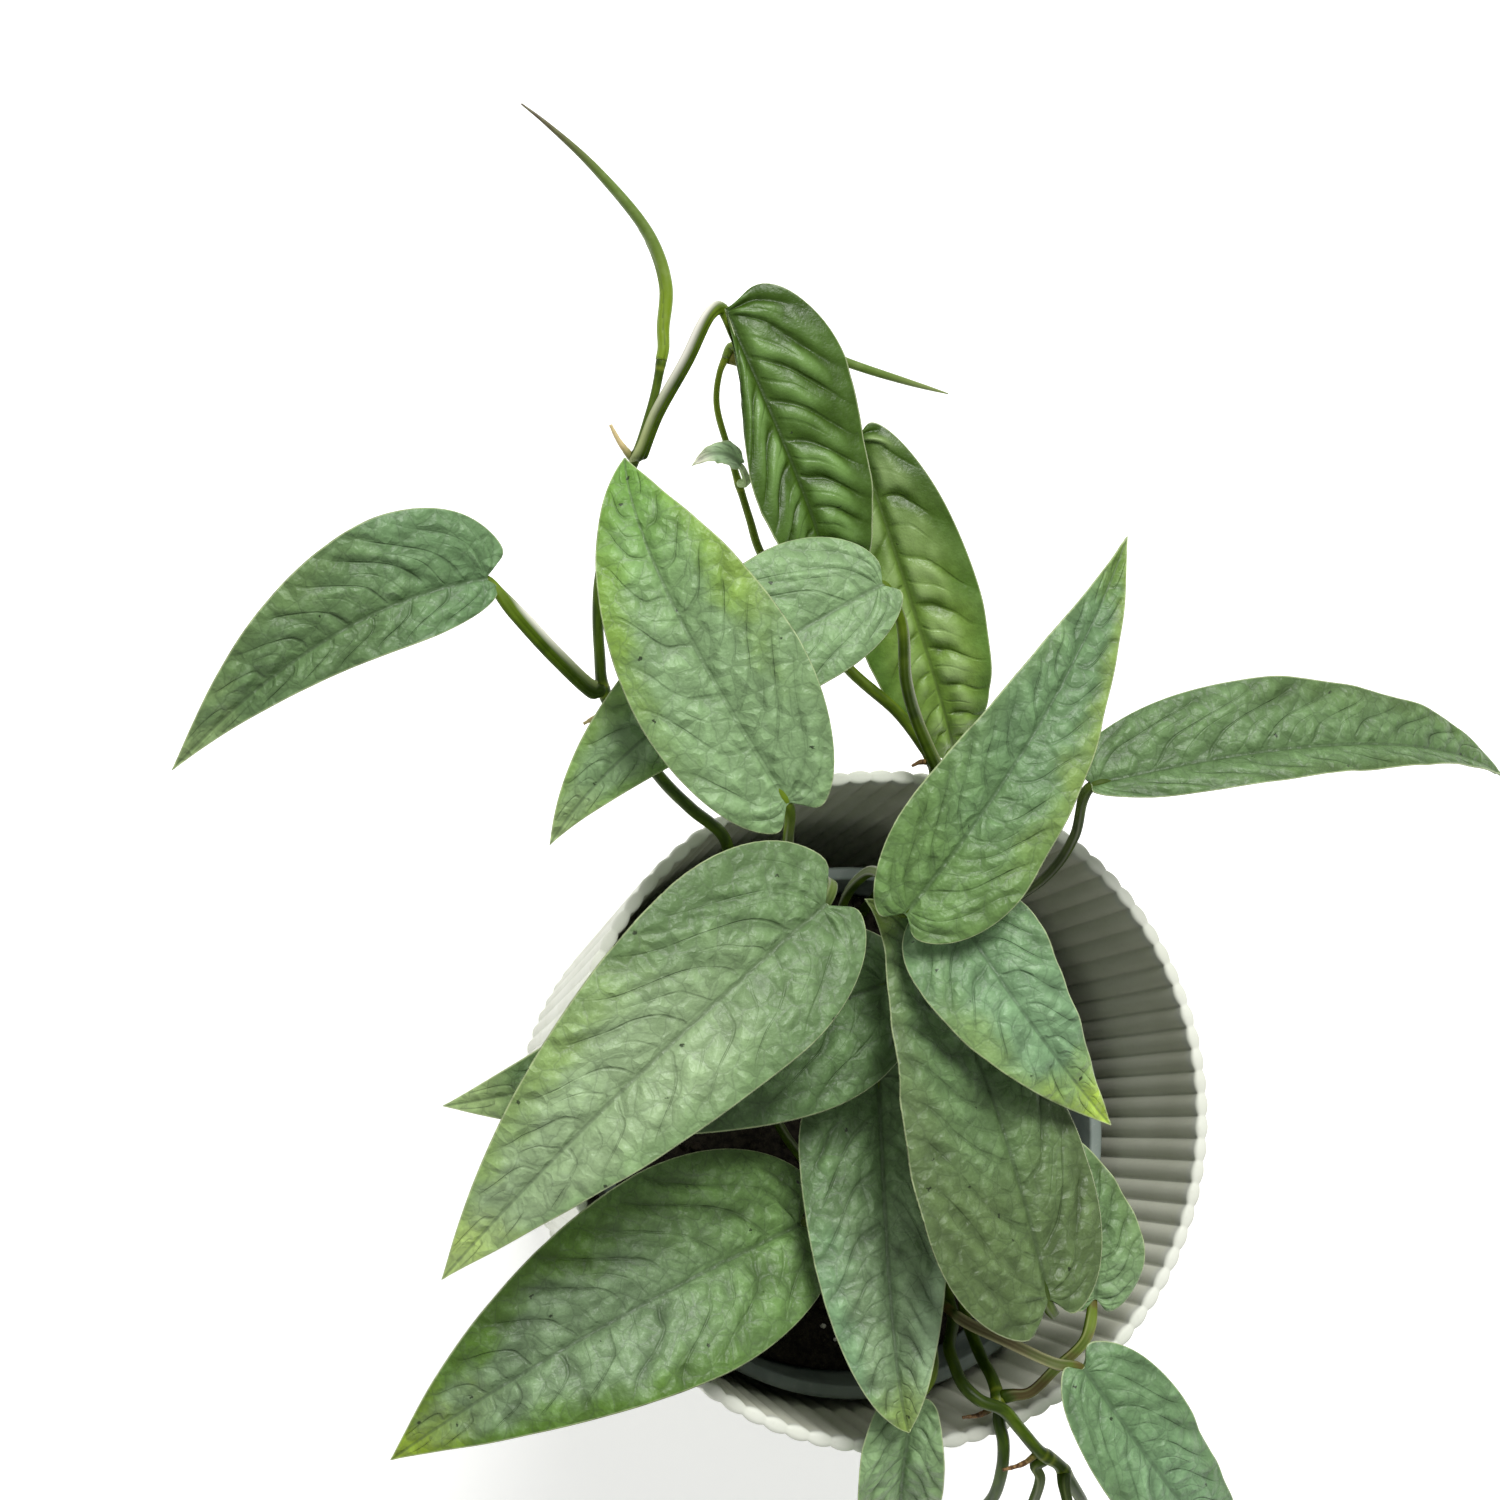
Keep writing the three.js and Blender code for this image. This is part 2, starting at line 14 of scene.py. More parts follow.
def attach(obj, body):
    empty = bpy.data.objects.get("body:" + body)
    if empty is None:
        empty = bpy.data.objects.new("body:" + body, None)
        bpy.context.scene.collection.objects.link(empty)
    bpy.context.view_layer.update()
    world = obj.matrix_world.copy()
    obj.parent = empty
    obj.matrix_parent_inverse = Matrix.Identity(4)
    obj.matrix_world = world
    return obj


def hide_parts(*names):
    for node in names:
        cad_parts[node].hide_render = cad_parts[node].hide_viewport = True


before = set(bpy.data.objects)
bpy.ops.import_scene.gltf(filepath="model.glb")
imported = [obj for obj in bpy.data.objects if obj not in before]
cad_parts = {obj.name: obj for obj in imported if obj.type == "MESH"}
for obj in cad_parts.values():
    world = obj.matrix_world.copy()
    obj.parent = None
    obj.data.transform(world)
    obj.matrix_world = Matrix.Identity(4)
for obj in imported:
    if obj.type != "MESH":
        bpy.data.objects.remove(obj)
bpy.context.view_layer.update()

MM = 0.001
BODY = "root"


def add_object(name, data):
    thing = bpy.data.objects.new(name, data)
    bpy.context.scene.collection.objects.link(thing)
    return thing


# ---- the camera ---------------------------------------------------------------------------------

CAMERA_PLACE = (-141.6, -7.9, 596.4)
CAMERA_FORWARD = (0.2294, 0.1748, -0.9575)
PHOTO_SIDE = 1500          # pixels
FOCAL_PIXELS = 2200
SENSOR = 36.0


def make_camera():
    data = bpy.data.cameras.new("camera")
    data.sensor_width = SENSOR
    data.lens = SENSOR * FOCAL_PIXELS / PHOTO_SIDE
    data.clip_start = 0.01
    camera = add_object("camera", data)
    forward = Vector(CAMERA_FORWARD).normalized()
    right = forward.cross(Vector((0, 1, 0))).normalized()
    up = right.cross(forward)
    turn = Matrix((right, up, -forward)).transposed().to_4x4()
    camera.matrix_world = Matrix.Translation(Vector(CAMERA_PLACE) * MM) @ turn
    bpy.context.scene.camera = camera


make_camera()


# ---- nodes for materials ------------------------------------------------------------------------

def srgb(red, green, blue):
    """A linear colour from 0 to 255 display values."""
    def linear(value):
        value = value / 255
        return value / 12.92 if value <= 0.04045 else ((value + 0.055) / 1.055) ** 2.4
    return (linear(red), linear(green), linear(blue), 1.0)


class Nodes:
    """Short ways to add and wire a material's nodes."""

    def __init__(self, name):
        self.material = bpy.data.materials.new(name)
        self.material.use_nodes = True
        self.tree = self.material.node_tree
        self.shader = self.tree.nodes["Principled BSDF"]
        self.object_place = self.add("ShaderNodeTexCoord").outputs["Object"]

    def add(self, kind, **settings):
        node = self.tree.nodes.new(kind)
        for key, value in settings.items():
            setattr(node, key, value)
        return node

    def link(self, value, socket):
        if isinstance(value, bpy.types.NodeSocket):
            self.tree.links.new(value, socket)
        else:
            socket.default_value = value

    def attribute(self, name):
        return self.add("ShaderNodeAttribute", attribute_name=name).outputs["Fac"]

    def attributes(self, *names):
        return [self.attribute(name) for name in names]

    def operate(self, kind, operation, first, second):
        node = self.add(kind, operation=operation)
        self.link(first, node.inputs[0])
        self.link(second, node.inputs[1])
        return node.outputs[0]

    def math(self, operation, first, *others):
        """The operation on the first value and each of the others in turn."""
        for other in others or (0.0,):
            first = self.operate("ShaderNodeMath", operation, first, other)
        return first

    def plus(self, *values):
        return self.math("ADD", *values)

    def minus(self, first, second):
        return self.math("SUBTRACT", first, second)

    def larger(self, *values):
        return self.math("MAXIMUM", *values)

    def times(self, *values):
        return self.math("MULTIPLY", *values)

    def ramp(self, value, low, high, out_low=0.0, out_high=1.0):
        """The value carried smoothly from low..high to out_low..out_high."""
        node = self.add("ShaderNodeMapRange", interpolation_type="SMOOTHSTEP")
        sockets = ("Value", "From Min", "From Max", "To Min", "To Max")
        for name, given in zip(sockets, (value, low, high, out_low, out_high)):
            self.link(given, node.inputs[name])
        return node.outputs[0]

    def paint(self, colour, socket):
        """A colour is a socket, or red, green and blue display values from 0 to 255."""
        self.link(colour if isinstance(colour, bpy.types.NodeSocket) else srgb(*colour), socket)

    def mix(self, factor, first, second):
        node = self.add("ShaderNodeMix", data_type="RGBA", clamp_factor=True)
        self.link(factor, node.inputs["Factor"])
        self.paint(first, node.inputs[6])
        self.paint(second, node.inputs[7])
        return node.outputs[2]

    def blend(self, first, second, value, low, high, out_low=0.0, out_high=1.0):
        """From one colour to another as the value goes from low to high."""
        return self.mix(self.ramp(value, low, high, out_low, out_high), first, second)

    def scale(self, colour, factor):
        node = self.add("ShaderNodeVectorMath", operation="SCALE")
        self.link(colour, node.inputs[0])
        self.link(factor, node.inputs["Scale"])
        return node.outputs[0]

    def combine(self, x, y):
        node = self.add("ShaderNodeCombineXYZ")
        self.link(x, node.inputs[0])
        self.link(y, node.inputs[1])
        return node.outputs[0]

    def noise(self, size_mm, detail=2.0, place=None, rough=0.5, output="Fac"):
        """Noise from 0 to 1 whose blotches are about size_mm across."""
        node = self.add("ShaderNodeTexNoise")
        node.inputs["Scale"].default_value = 1 / (size_mm * MM)
        node.inputs["Detail"].default_value = detail
        node.inputs["Roughness"].default_value = rough
        self.link(place or self.object_place, node.inputs["Vector"])
        return node.outputs[output]

    def cells(self, size_mm, feature="DISTANCE_TO_EDGE", output="Distance", place=None):
        """Cells about size_mm across: distances in cell sizes, or a colour for each cell."""
        node = self.add("ShaderNodeTexVoronoi", feature=feature, voronoi_dimensions="3D")
        node.inputs["Scale"].default_value = 1 / (size_mm * MM)
        self.link(place or self.object_place, node.inputs["Vector"])
        return node.outputs[output]

    def wander(self, reach_mm, size_mm):
        """Places in the object, each shifted by up to about reach_mm, so that cells get ragged sides."""
        thrown = self.noise(size_mm, output="Color")
        centred = self.operate("ShaderNodeVectorMath", "SUBTRACT", thrown, (0.5, 0.5, 0.5))
        shift = self.scale(centred, 2 * reach_mm * MM)
        return self.operate("ShaderNodeVectorMath", "ADD", self.object_place, shift)

    def bump(self, height, distance_mm, strength=1.0):
        node = self.add("ShaderNodeBump")
        node.inputs["Distance"].default_value = distance_mm * MM
        node.inputs["Strength"].default_value = strength
        self.link(height, node.inputs["Height"])
        self.link(node.outputs[0], self.shader.inputs["Normal"])

    def finish(self, colour, roughness, specular=0.5, **constants):
        self.paint(colour, self.shader.inputs["Base Color"])
        self.link(roughness, self.shader.inputs["Roughness"])
        self.shader.inputs["Specular IOR Level"].default_value = specular
        for name, value in constants.items():
            self.shader.inputs[name.replace("_", " ")].default_value = value
        return self.material


# ---- curves -------------------------------------------------------------------------------------

def vectors(points):
    return np.array(points, float)


def unit(v):
    return v / np.maximum(np.linalg.norm(v, axis=-1, keepdims=True), 1e-12)


def arc_lengths(route):
    return np.concatenate([[0], np.cumsum(np.linalg.norm(np.diff(route, axis=0), axis=1))])


def angles_round(count):
    """Angles of count equal steps round a circle."""
    return np.linspace(0, 2 * math.pi, count, endpoint=False)


def smooth_curve(points, spacing):
    """Points about spacing apart along the centripetal Catmull-Rom curve through points."""
    given = vectors(points)
    ends = np.vstack([2 * given[0] - given[1], given, 2 * given[-1] - given[-2]])
    dense = []
    for p0, p1, p2, p3 in zip(ends[:-3], ends[1:-2], ends[2:-1], ends[3:]):
        d0, d1, d2 = (max(math.sqrt(np.linalg.norm(b - a)), 1e-3) for a, b in ((p0, p1), (p1, p2), (p2, p3)))
        leave = ((p1 - p0) / d0 - (p2 - p0) / (d0 + d1) + (p2 - p1) / d1) * d1
        arrive = ((p2 - p1) / d1 - (p3 - p1) / (d1 + d2) + (p3 - p2) / d2) * d1
        t = np.linspace(0, 1, 24, endpoint=False)[:, None]
        cubic = 2 * (p1 - p2) + leave + arrive
        square = -3 * (p1 - p2) - 2 * leave - arrive
        dense.append(p1 + t * leave + t ** 2 * square + t ** 3 * cubic)
    dense = np.vstack(dense + [given[-1:]])
    lengths = arc_lengths(dense)
    count = max(3, int(round(lengths[-1] / spacing)))
    places = np.linspace(0, lengths[-1], count + 1)
    return np.stack([np.interp(places, lengths, dense[:, k]) for k in range(3)], axis=1)


def tangents(route):
    return unit(np.gradient(route, axis=0))


def carried(route, start):
    """Side vectors along a route, carried from its first point without twist."""
    along = tangents(route)
    side = np.array(start, float)
    sides = []
    for direction in along:
        side = unit(side - direction * np.dot(side, direction))
        sides.append(side)
    return np.array(sides)


def smoothstep(low, high, value):
    share = np.clip((value - low) / (high - low), 0, 1)
    return share * share * (3 - 2 * share)


# ---- meshes -------------------------------------------------------------------------------------

class Shape:
    """Corners, faces and per-corner numbers, gathered before they become one Blender mesh."""

    def __init__(self):
        self.corners = []
        self.faces = []
        self.slots = []
        self.numbers = {}
        self.count = 0

    def add(self, corners, faces, slot=0, **numbers):
        start = self.count
        self.corners.append(np.asarray(corners, float))
        self.faces.extend([[corner + start for corner in face] for face in faces])
        self.slots.extend([slot] * len(faces))
        self.count += len(corners)
        for name, values in numbers.items():
            self.numbers.setdefault(name, []).append((start, np.broadcast_to(values, len(corners))))

    def add_rings(self, rings, hubs, slot=0, **numbers):
        """Quads between rings of corners, with the first and last ring closed by a fan on a hub."""
        count, sides = rings.shape[:2]
        around = [(s, (s + 1) % sides) for s in range(sides)]
        last = (count - 1) * sides
        hub = count * sides
        faces = [(low + a, low + b, low + sides + b, low + sides + a)
                 for low in range(0, last, sides) for a, b in around]
        faces += [(hub, b, a) for a, b in around]
        faces += [(hub + 1, last + a, last + b) for a, b in around]
        self.add(np.vstack([rings.reshape(-1, 3), hubs]), faces, slot, **numbers)

    def build(self, name, materials, node):
        """The mesh as a piece of the plant that stands for a CAD node."""
        mesh = bpy.data.meshes.new(name)
        corners = np.vstack(self.corners) * MM
        mesh.from_pydata(corners.tolist(), [], self.faces)
        for material in materials:
            mesh.materials.append(material)
        mesh.polygons.foreach_set("material_index", self.slots)
        mesh.polygons.foreach_set("use_smooth", [True] * len(mesh.polygons))
        for key, runs in self.numbers.items():
            values = np.zeros(self.count, np.float32)
            for start, run in runs:
                values[start:start + len(run)] = run
            mesh.attributes.new(key, "FLOAT", "POINT").data.foreach_set("value", values)
        mesh.update()
        piece = add_object(name, mesh)
        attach(piece, BODY)
        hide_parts(node)


def add_tube(shape, route, up, radius, sides, slot=0, section=1.0, **numbers):
    """A tube along a route. radius is one number for each ring, section scales it by ring and side."""
    rings = len(route)
    side = np.cross(tangents(route), up)
    angle = angles_round(sides)
    reach = radius[:, None] * np.broadcast_to(section, (rings, sides))
    corners = (route[:, None, :]
               + (reach * np.cos(angle))[..., None] * up[:, None, :]
               + (reach * np.sin(angle))[..., None] * side[:, None, :])
    spread = {}
    for key, values in numbers.items():
        values = np.asarray(values, float)
        values = np.broadcast_to(values[:, None] if values.ndim == 1 else values, (rings, sides))
        spread[key] = np.concatenate([values.ravel(), values[0, :1], values[-1, :1]])
    shape.add_rings(corners, [route[0], route[-1]], slot, **spread)


def add_turned(shape, profile, segments, centre=(0, 0), wave=None, **numbers):
    """A closed profile of (radius, height) points turned about Z. wave moves them by angle."""
    profile = np.array(profile, float)
    angle = angles_round(segments)
    radius = np.repeat(profile[:, :1], segments, axis=1)
    height = np.repeat(profile[:, 1:], segments, axis=1)
    if wave is not None:
        out, up = wave(angle)
        radius, height = radius + out, height + up
    x = centre[0] + radius * np.cos(angle)
    y = centre[1] + radius * np.sin(angle)
    corners = np.stack([x, y, height], axis=2)
    hubs = [(*centre, profile[0, 1]), (*centre, profile[-1, 1])]
    shape.add_rings(corners, hubs, **numbers)


def rounded(corner, before, after, radius, steps=5):
    """Points of a fillet of about radius at a profile corner."""
    corner, before, after = vectors((corner, before, after))
    start = corner + unit(before - corner) * radius
    end = corner + unit(after - corner) * radius
    t = np.linspace(0, 1, steps)[:, None]
    return ((1 - t) ** 2 * start + 2 * t * (1 - t) * corner + t ** 2 * end).tolist()


# ---- the pots -----------------------------------------------------------------------------------

COVER_RADIUS = 72.5        # outside of the flutes, at the rim
COVER_HEIGHT = 140.0
COVER_TAPER = 9.5
COVER_WALL = 3.1
COVER_FLOOR = 4.0
FLUTES = 90
FLUTE_DEPTH = 0.9
FLUTE_STEPS = 12           # segments across one flute

NURSERY_CENTRE = (1.0, -5.0)
NURSERY_FOOT_Z = 4.3
NURSERY_RIM_Z = 106.0
NURSERY_RADIUS = 60.0
NURSERY_FOOT = 46.0
NURSERY_BAND = 9.0         # height of the band round the rim
NURSERY_STEP = 3.0         # how far the band stands out
NURSERY_WALL = 1.2
NURSERY_SEGMENTS = 192

SOIL_TOP = 96.0


def cover_material():
    n = Nodes("cover_pot_ceramic")
    inside = n.attribute("inside")
    grain = n.noise(1.2, 3)
    cloud = n.noise(25, 2)
    outer = n.blend((222, 224, 212), (213, 215, 201), cloud, 0.3, 0.7)
    # the inner wall gets a brighter, yellower copy of the glaze: painted light
    painted_inner_light = n.blend((230, 231, 213), (217, 218, 198), cloud, 0.3, 0.7)
    colour = n.mix(inside, outer, painted_inner_light)
    colour = n.blend(colour, (190, 186, 170), grain, 0.55, 0.75, 0.0, 0.12)
    n.bump(grain, 0.05, 0.6)
    return n.finish(colour, n.ramp(grain, 0.3, 0.7, 0.5, 0.68), 0.4)


def cover_profile():
    """The cover pot's profile, each point with its flute depth, its dip and how far inside it is."""
    slope = COVER_TAPER / COVER_HEIGHT
    foot = COVER_RADIUS - COVER_TAPER
    inner_rim = COVER_RADIUS - COVER_WALL
    inner_foot = inner_rim - slope * (COVER_HEIGHT - COVER_FLOOR)
    top = COVER_HEIGHT
    outer_wall = [(foot + slope * z, z) for z in np.linspace(6, top - 4, 9)]
    inner_wall = [(inner_rim - slope * (top - z), z) for z in np.linspace(top - 4, COVER_FLOOR + 5, 10)]
    foot_edge = rounded((foot, 0), (foot - 9, 0), (foot + slope * 9, 9), 1.6)
    outer_lip = rounded((COVER_RADIUS, top), (COVER_RADIUS - slope * 9, top - 9), (inner_rim, top), 1.3)
    inner_lip = rounded((inner_rim, top), (COVER_RADIUS, top), (inner_rim - slope * 9, top - 9), 1.1)
    inner_edge = rounded((inner_foot, COVER_FLOOR), (inner_rim, top), (0, COVER_FLOOR), 4)
    fading = np.linspace(0.75, 0.15, len(outer_lip))
    rows = [(10, 0, 0, 0, 0), (foot - 6, 0, 0, 0, 0)]
    rows += [(r, z, -1, 0, 0) for r, z in foot_edge + outer_wall]
    rows += [(r, z, -fade, 0.3, 0) for (r, z), fade in zip(outer_lip, fading)]
    rows += [(r, z, fade, 0.3, 0) for (r, z), fade in zip(inner_lip, fading[::-1])]
    rows += [(r, z, 1, 0, 1) for r, z in inner_wall]
    rows += [(r, z, 0.4, 0, 1) for r, z in inner_edge]
    rows += [(inner_foot - 9, COVER_FLOOR, 0, 0, 1), (10, COVER_FLOOR, 0, 0, 1)]
    return rows


def make_cover_pot():
    rows = cover_profile()
    depth, dip = (np.array([row[k] for row in rows])[:, None] for k in (2, 3))
    segments = FLUTES * FLUTE_STEPS

    def flutes(angle):
        """How far the radius and the height move by angle."""
        valley = 1 - np.abs(np.cos(FLUTES * angle / 2))[None, :] ** 0.8
        return FLUTE_DEPTH * depth * valley, -dip * valley

    inside = np.repeat([row[4] for row in rows], segments)
    shape = Shape()
    add_turned(shape, [row[:2] for row in rows], segments, wave=flutes, inside=[*inside, 0, 1])
    shape.build("fluted_cover_pot", [cover_material()], "cover_pot")


def nursery_material():
    n = Nodes("nursery_pot_plastic")
    cloud = n.noise(14, 3)
    scuffs = n.noise(1.6, 4)
    colour = n.blend((124, 135, 128), (100, 111, 106), cloud, 0.35, 0.65)
    colour = n.blend(colour, (164, 168, 156), scuffs, 0.58, 0.72, 0.0, 0.25)
    n.bump(n.noise(0.7, 2), 0.03, 0.5)
    return n.finish(colour, n.ramp(cloud, 0.3, 0.7, 0.42, 0.6), 0.5)


def make_nursery_pot():
    foot_z, rim_z = NURSERY_FOOT_Z, NURSERY_RIM_Z
    neck = NURSERY_RADIUS - NURSERY_STEP
    band_z = rim_z - NURSERY_BAND
    rim = NURSERY_RADIUS
    wall = NURSERY_WALL
    profile = [(8, foot_z), (NURSERY_FOOT - 4, foot_z)]
    profile += rounded((NURSERY_FOOT, foot_z), (0, foot_z), (neck, band_z), 1.5)
    profile += [(NURSERY_FOOT + (neck - NURSERY_FOOT) * share, foot_z + (band_z - foot_z) * share)
                for share in (0.2, 0.4, 0.6, 0.8)]
    profile += rounded((neck, band_z), (NURSERY_FOOT, foot_z), (rim, band_z), 0.4, 3)
    profile += rounded((rim, band_z), (neck, band_z), (rim, rim_z), 0.5, 4)
    profile += rounded((rim, rim_z), (rim, band_z), (neck, rim_z), 0.9)
    profile += rounded((neck, rim_z), (rim, rim_z), (neck - wall, band_z), 0.7)
    profile += [(neck - wall, band_z), (NURSERY_FOOT - wall, foot_z + 1.5), (8, foot_z + 1.5)]
    shape = Shape()
    add_turned(shape, profile, NURSERY_SEGMENTS, NURSERY_CENTRE)
    shape.build("gray_nursery_pot", [nursery_material()], "nursery_pot")


# ---- the soil -----------------------------------------------------------------------------------

SOIL_FOOT = 7.5
SOIL_REACH = 54.6
SOIL_RINGS = 46
SOIL_SEGMENTS = 150
CRUMBS = 420
PERLITE = 26


def soil_material():
    n = Nodes("potting_mix")
    tone = n.attribute("tone")
    fine = n.noise(1.4, 4)
    colour = n.blend((22, 19, 15), (48, 43, 34), fine, 0.3, 0.7)
    colour = n.blend(colour, (62, 50, 38), tone, 0.2, 0.8)
    colour = n.blend(colour, (215, 212, 200), tone, 0.85, 0.95)
    n.bump(n.noise(0.8, 4), 0.5, 0.9)
    return n.finish(colour, 0.95, 0.2)


def crumb(random, place, size):
    """A small angular lump: a six-cornered solid cut once more, stretched and turned."""
    poles = np.array([(1, 0, 0), (-1, 0, 0), (0, 1, 0), (0, -1, 0), (0, 0, 1), (0, 0, -1)], float)
    faces = ((0, 2, 4), (2, 1, 4), (1, 3, 4), (3, 0, 4), (2, 0, 5), (1, 2, 5), (3, 1, 5), (0, 3, 5))
    corners = [tuple(p) for p in poles]
    split = []
    middles = {}
    for a, b, c in faces:
        mids = []
        for p, q in ((a, b), (b, c), (c, a)):
            key = (min(p, q), max(p, q))
            if key not in middles:
                middles[key] = len(corners)
                corners.append(tuple(unit(poles[p] + poles[q])))
            mids.append(middles[key])
        ab, bc, ca = mids
        split += [(a, ab, ca), (ab, b, bc), (ca, bc, c), (ab, bc, ca)]
    lump = np.array(corners) * random.uniform(0.75, 1.15, (len(corners), 1))
    lump *= random.uniform(0.45, 1.0, 3)
    turn = np.linalg.qr(random.normal(size=(3, 3)))[0]
    turn[:, 0] *= np.sign(np.linalg.det(turn))
    return lump @ turn.T * size + place, split


def in_pot(radius, angle):
    """A place in the nursery pot, seen from above."""
    return NURSERY_CENTRE[0] + radius * math.cos(angle), NURSERY_CENTRE[1] + radius * math.sin(angle)


def soil_height(x, y):
    """Height of the soil's lumpy surface over a place in the pot."""
    radius = math.hypot(x - NURSERY_CENTRE[0], y - NURSERY_CENTRE[1]) / SOIL_REACH
    bumps = noise.noise(Vector((x, y, 0)) / 9) * 1.3 + noise.noise(Vector((x, y, 7)) / 3.2) * 0.8
    return SOIL_TOP - 0.6 - 2.0 * radius ** 2 + bumps


def make_soil():
    random = np.random.default_rng(7)
    radii = np.linspace(1.5, SOIL_REACH, SOIL_RINGS)
    angles = angles_round(SOIL_SEGMENTS)
    rows = [[(*in_pot(radius, angle), SOIL_FOOT) for angle in angles] for radius in (30, 43.5)]
    for radius in radii[::-1]:
        places = [in_pot(radius, angle) for angle in angles]
        rows.append([(x, y, soil_height(x, y)) for x, y in places])
    hubs = [(*NURSERY_CENTRE, SOIL_FOOT), (*NURSERY_CENTRE, soil_height(*NURSERY_CENTRE))]
    shape = Shape()
    shape.add_rings(np.array(rows), hubs, tone=0.0)
    for index in range(CRUMBS + PERLITE):
        white = index >= CRUMBS
        angle = random.uniform(0, 2 * math.pi)
        x, y = in_pot(SOIL_REACH * 0.97 * math.sqrt(random.uniform()), angle)
        size = random.uniform(0.5, 1.1) if white else random.uniform(0.7, 2.3)
        corners, faces = crumb(random, (x, y, soil_height(x, y) + 0.25 * size), size)
        shape.add(corners, faces, tone=1.0 if white else random.uniform(0, 0.75) ** 2)
    shape.build("loose_potting_mix", [soil_material()], "potting_soil")


make_cover_pot()
make_nursery_pot()
make_soil()


# ---- the stems ----------------------------------------------------------------------------------

VINE_RADIUS = 1.4
CROWN_RADIUS = 1.8
PETIOLE_RADIUS = 1.15
ROOT_Z = 84.0              # where the rooted stems end, inside the soil
STEM_SPACING = 0.7         # between the rings of a stem
STEM_SIDES = 20
ROOT_SIDES = 12

# What a stem has where its own row says nothing else: short aerial roots, how tan they are, how
# young a green its end is, and how slim it ends.
STEM_DEFAULTS = dict(roots=[], tan=0.0, young=0.3, end_size=1.0, radius=VINE_RADIUS)

# points are the places that a stem's centreline passes through.
STEMS = {
    "vine_1": dict(
        points=[(-26, 34, ROOT_Z), (-28, 38, 106), (-33, 46, 126), (-39, 56, 143.5), (-47, 61, 148),
                (-54, 67, 150), (-66, 83, 152), (-68, 92, 155), (-69, 105, 159), (-67, 118, 164),
                (-63, 131, 169), (-60, 143, 172), (-59, 150, 174)],
        roots=[[(-64, 130, 168.5), (-67, 133, 170), (-69, 136, 171)],
               [(-65, 81, 151.7), (-68, 79, 151.2), (-70.5, 77.5, 150.8)]],
        young=0.15, end_size=0.7, tan=1.0),
    "vine_2": dict(
        points=[(6, 44, ROOT_Z), (6, 48, 106), (7, 56, 125), (8, 63, 139), (8, 72, 145),
                (3.6, 77.7, 148), (-1.8, 83.4, 149.5), (-13, 92, 151), (-24.5, 105.5, 151.5),
                (-33, 116, 153), (-36, 123, 155), (-41, 135, 159), (-45, 145, 163), (-45, 151, 166),
                (-44, 154, 168)],
        roots=[[(7, 73.5, 145.4), (4, 73, 147), (2, 72, 148)]],
        young=0.8, end_size=0.5),
    "vine_3": dict(
        points=[(22, -26, ROOT_Z), (21, -32, 104), (18, -41, 118), (16, -46, 128), (12, -51, 137),
                (11, -54, 143), (12, -58, 146), (15, -61, 147.5), (20, -63, 147.5), (24, -67, 146.5),
                (29, -72, 144.5), (34, -75, 142), (39, -80, 137), (44, -85, 130), (48, -89, 118),
                (50, -92, 102), (49, -94, 86)],
        roots=[[(29, -72, 144.5), (26, -74.5, 143), (22, -76, 141)]],
        young=0.35),
    "vine_4": dict(
        points=[(30, -30, ROOT_Z), (28, -37, 101), (24, -45, 112), (22, -49, 122), (21, -54, 132),
                (21, -58, 139), (21, -62, 142.3), (21, -66, 142.3), (22, -70, 141.8), (23, -76, 138),
                (24, -84, 128), (23, -90, 113), (20, -94, 96)],
        roots=[[(20.5, -62.5, 142.3), (17, -64.5, 142), (13, -65, 142)]],
        young=0.0),
    "crown_stem_1": dict(points=[(-24, 10, ROOT_Z), (-24, 13, 110), (-26, 18, 130)], radius=CROWN_RADIUS),
    "crown_stem_2": dict(points=[(2, 16, ROOT_Z), (3, 20, 112), (4, 25, 132)], radius=CROWN_RADIUS),
    "crown_stem_3": dict(points=[(7, -20, ROOT_Z), (9, -24, 110), (10, -27, 126)], radius=CROWN_RADIUS),
}

stems = {name: {**STEM_DEFAULTS, **facts} for name, facts in STEMS.items()}
stem_routes = {name: smooth_curve(stem["points"], STEM_SPACING) for name, stem in stems.items()}


def stem_material():
    n = Nodes("green_stem")
    young, ring, brown, around, along, tan = n.attributes("young", "ring", "brown", "around", "along", "tan")
    streak = n.noise(0.9, 3, n.combine(n.times(around, 0.004), n.times(along, 0.12)))
    old_green = n.blend((38, 60, 0), (70, 94, 6), streak, 0.35, 0.7)
    young_green = n.blend((96, 118, 6), (124, 144, 34), streak, 0.35, 0.7)
    colour = n.mix(young, old_green, young_green)
    colour = n.mix(n.times(ring, 0.7), colour, (146, 158, 48))
    bark = n.blend((84, 58, 34), (150, 118, 78), n.noise(0.8, 3), 0.35, 0.65)
    bark = n.mix(tan, bark, (206, 186, 136))
    colour = n.mix(brown, colour, bark)
    n.bump(streak, 0.12, 0.5)
    return n.finish(colour, n.ramp(streak, 0.3, 0.7, 0.34, 0.46), 0.28)


STEM = stem_material()
node_places = {name: [] for name in stem_routes}     # where petioles spring from each stem


def nearest(route, place):
    return int(np.argmin(np.linalg.norm(route - np.array(place, float), axis=1)))


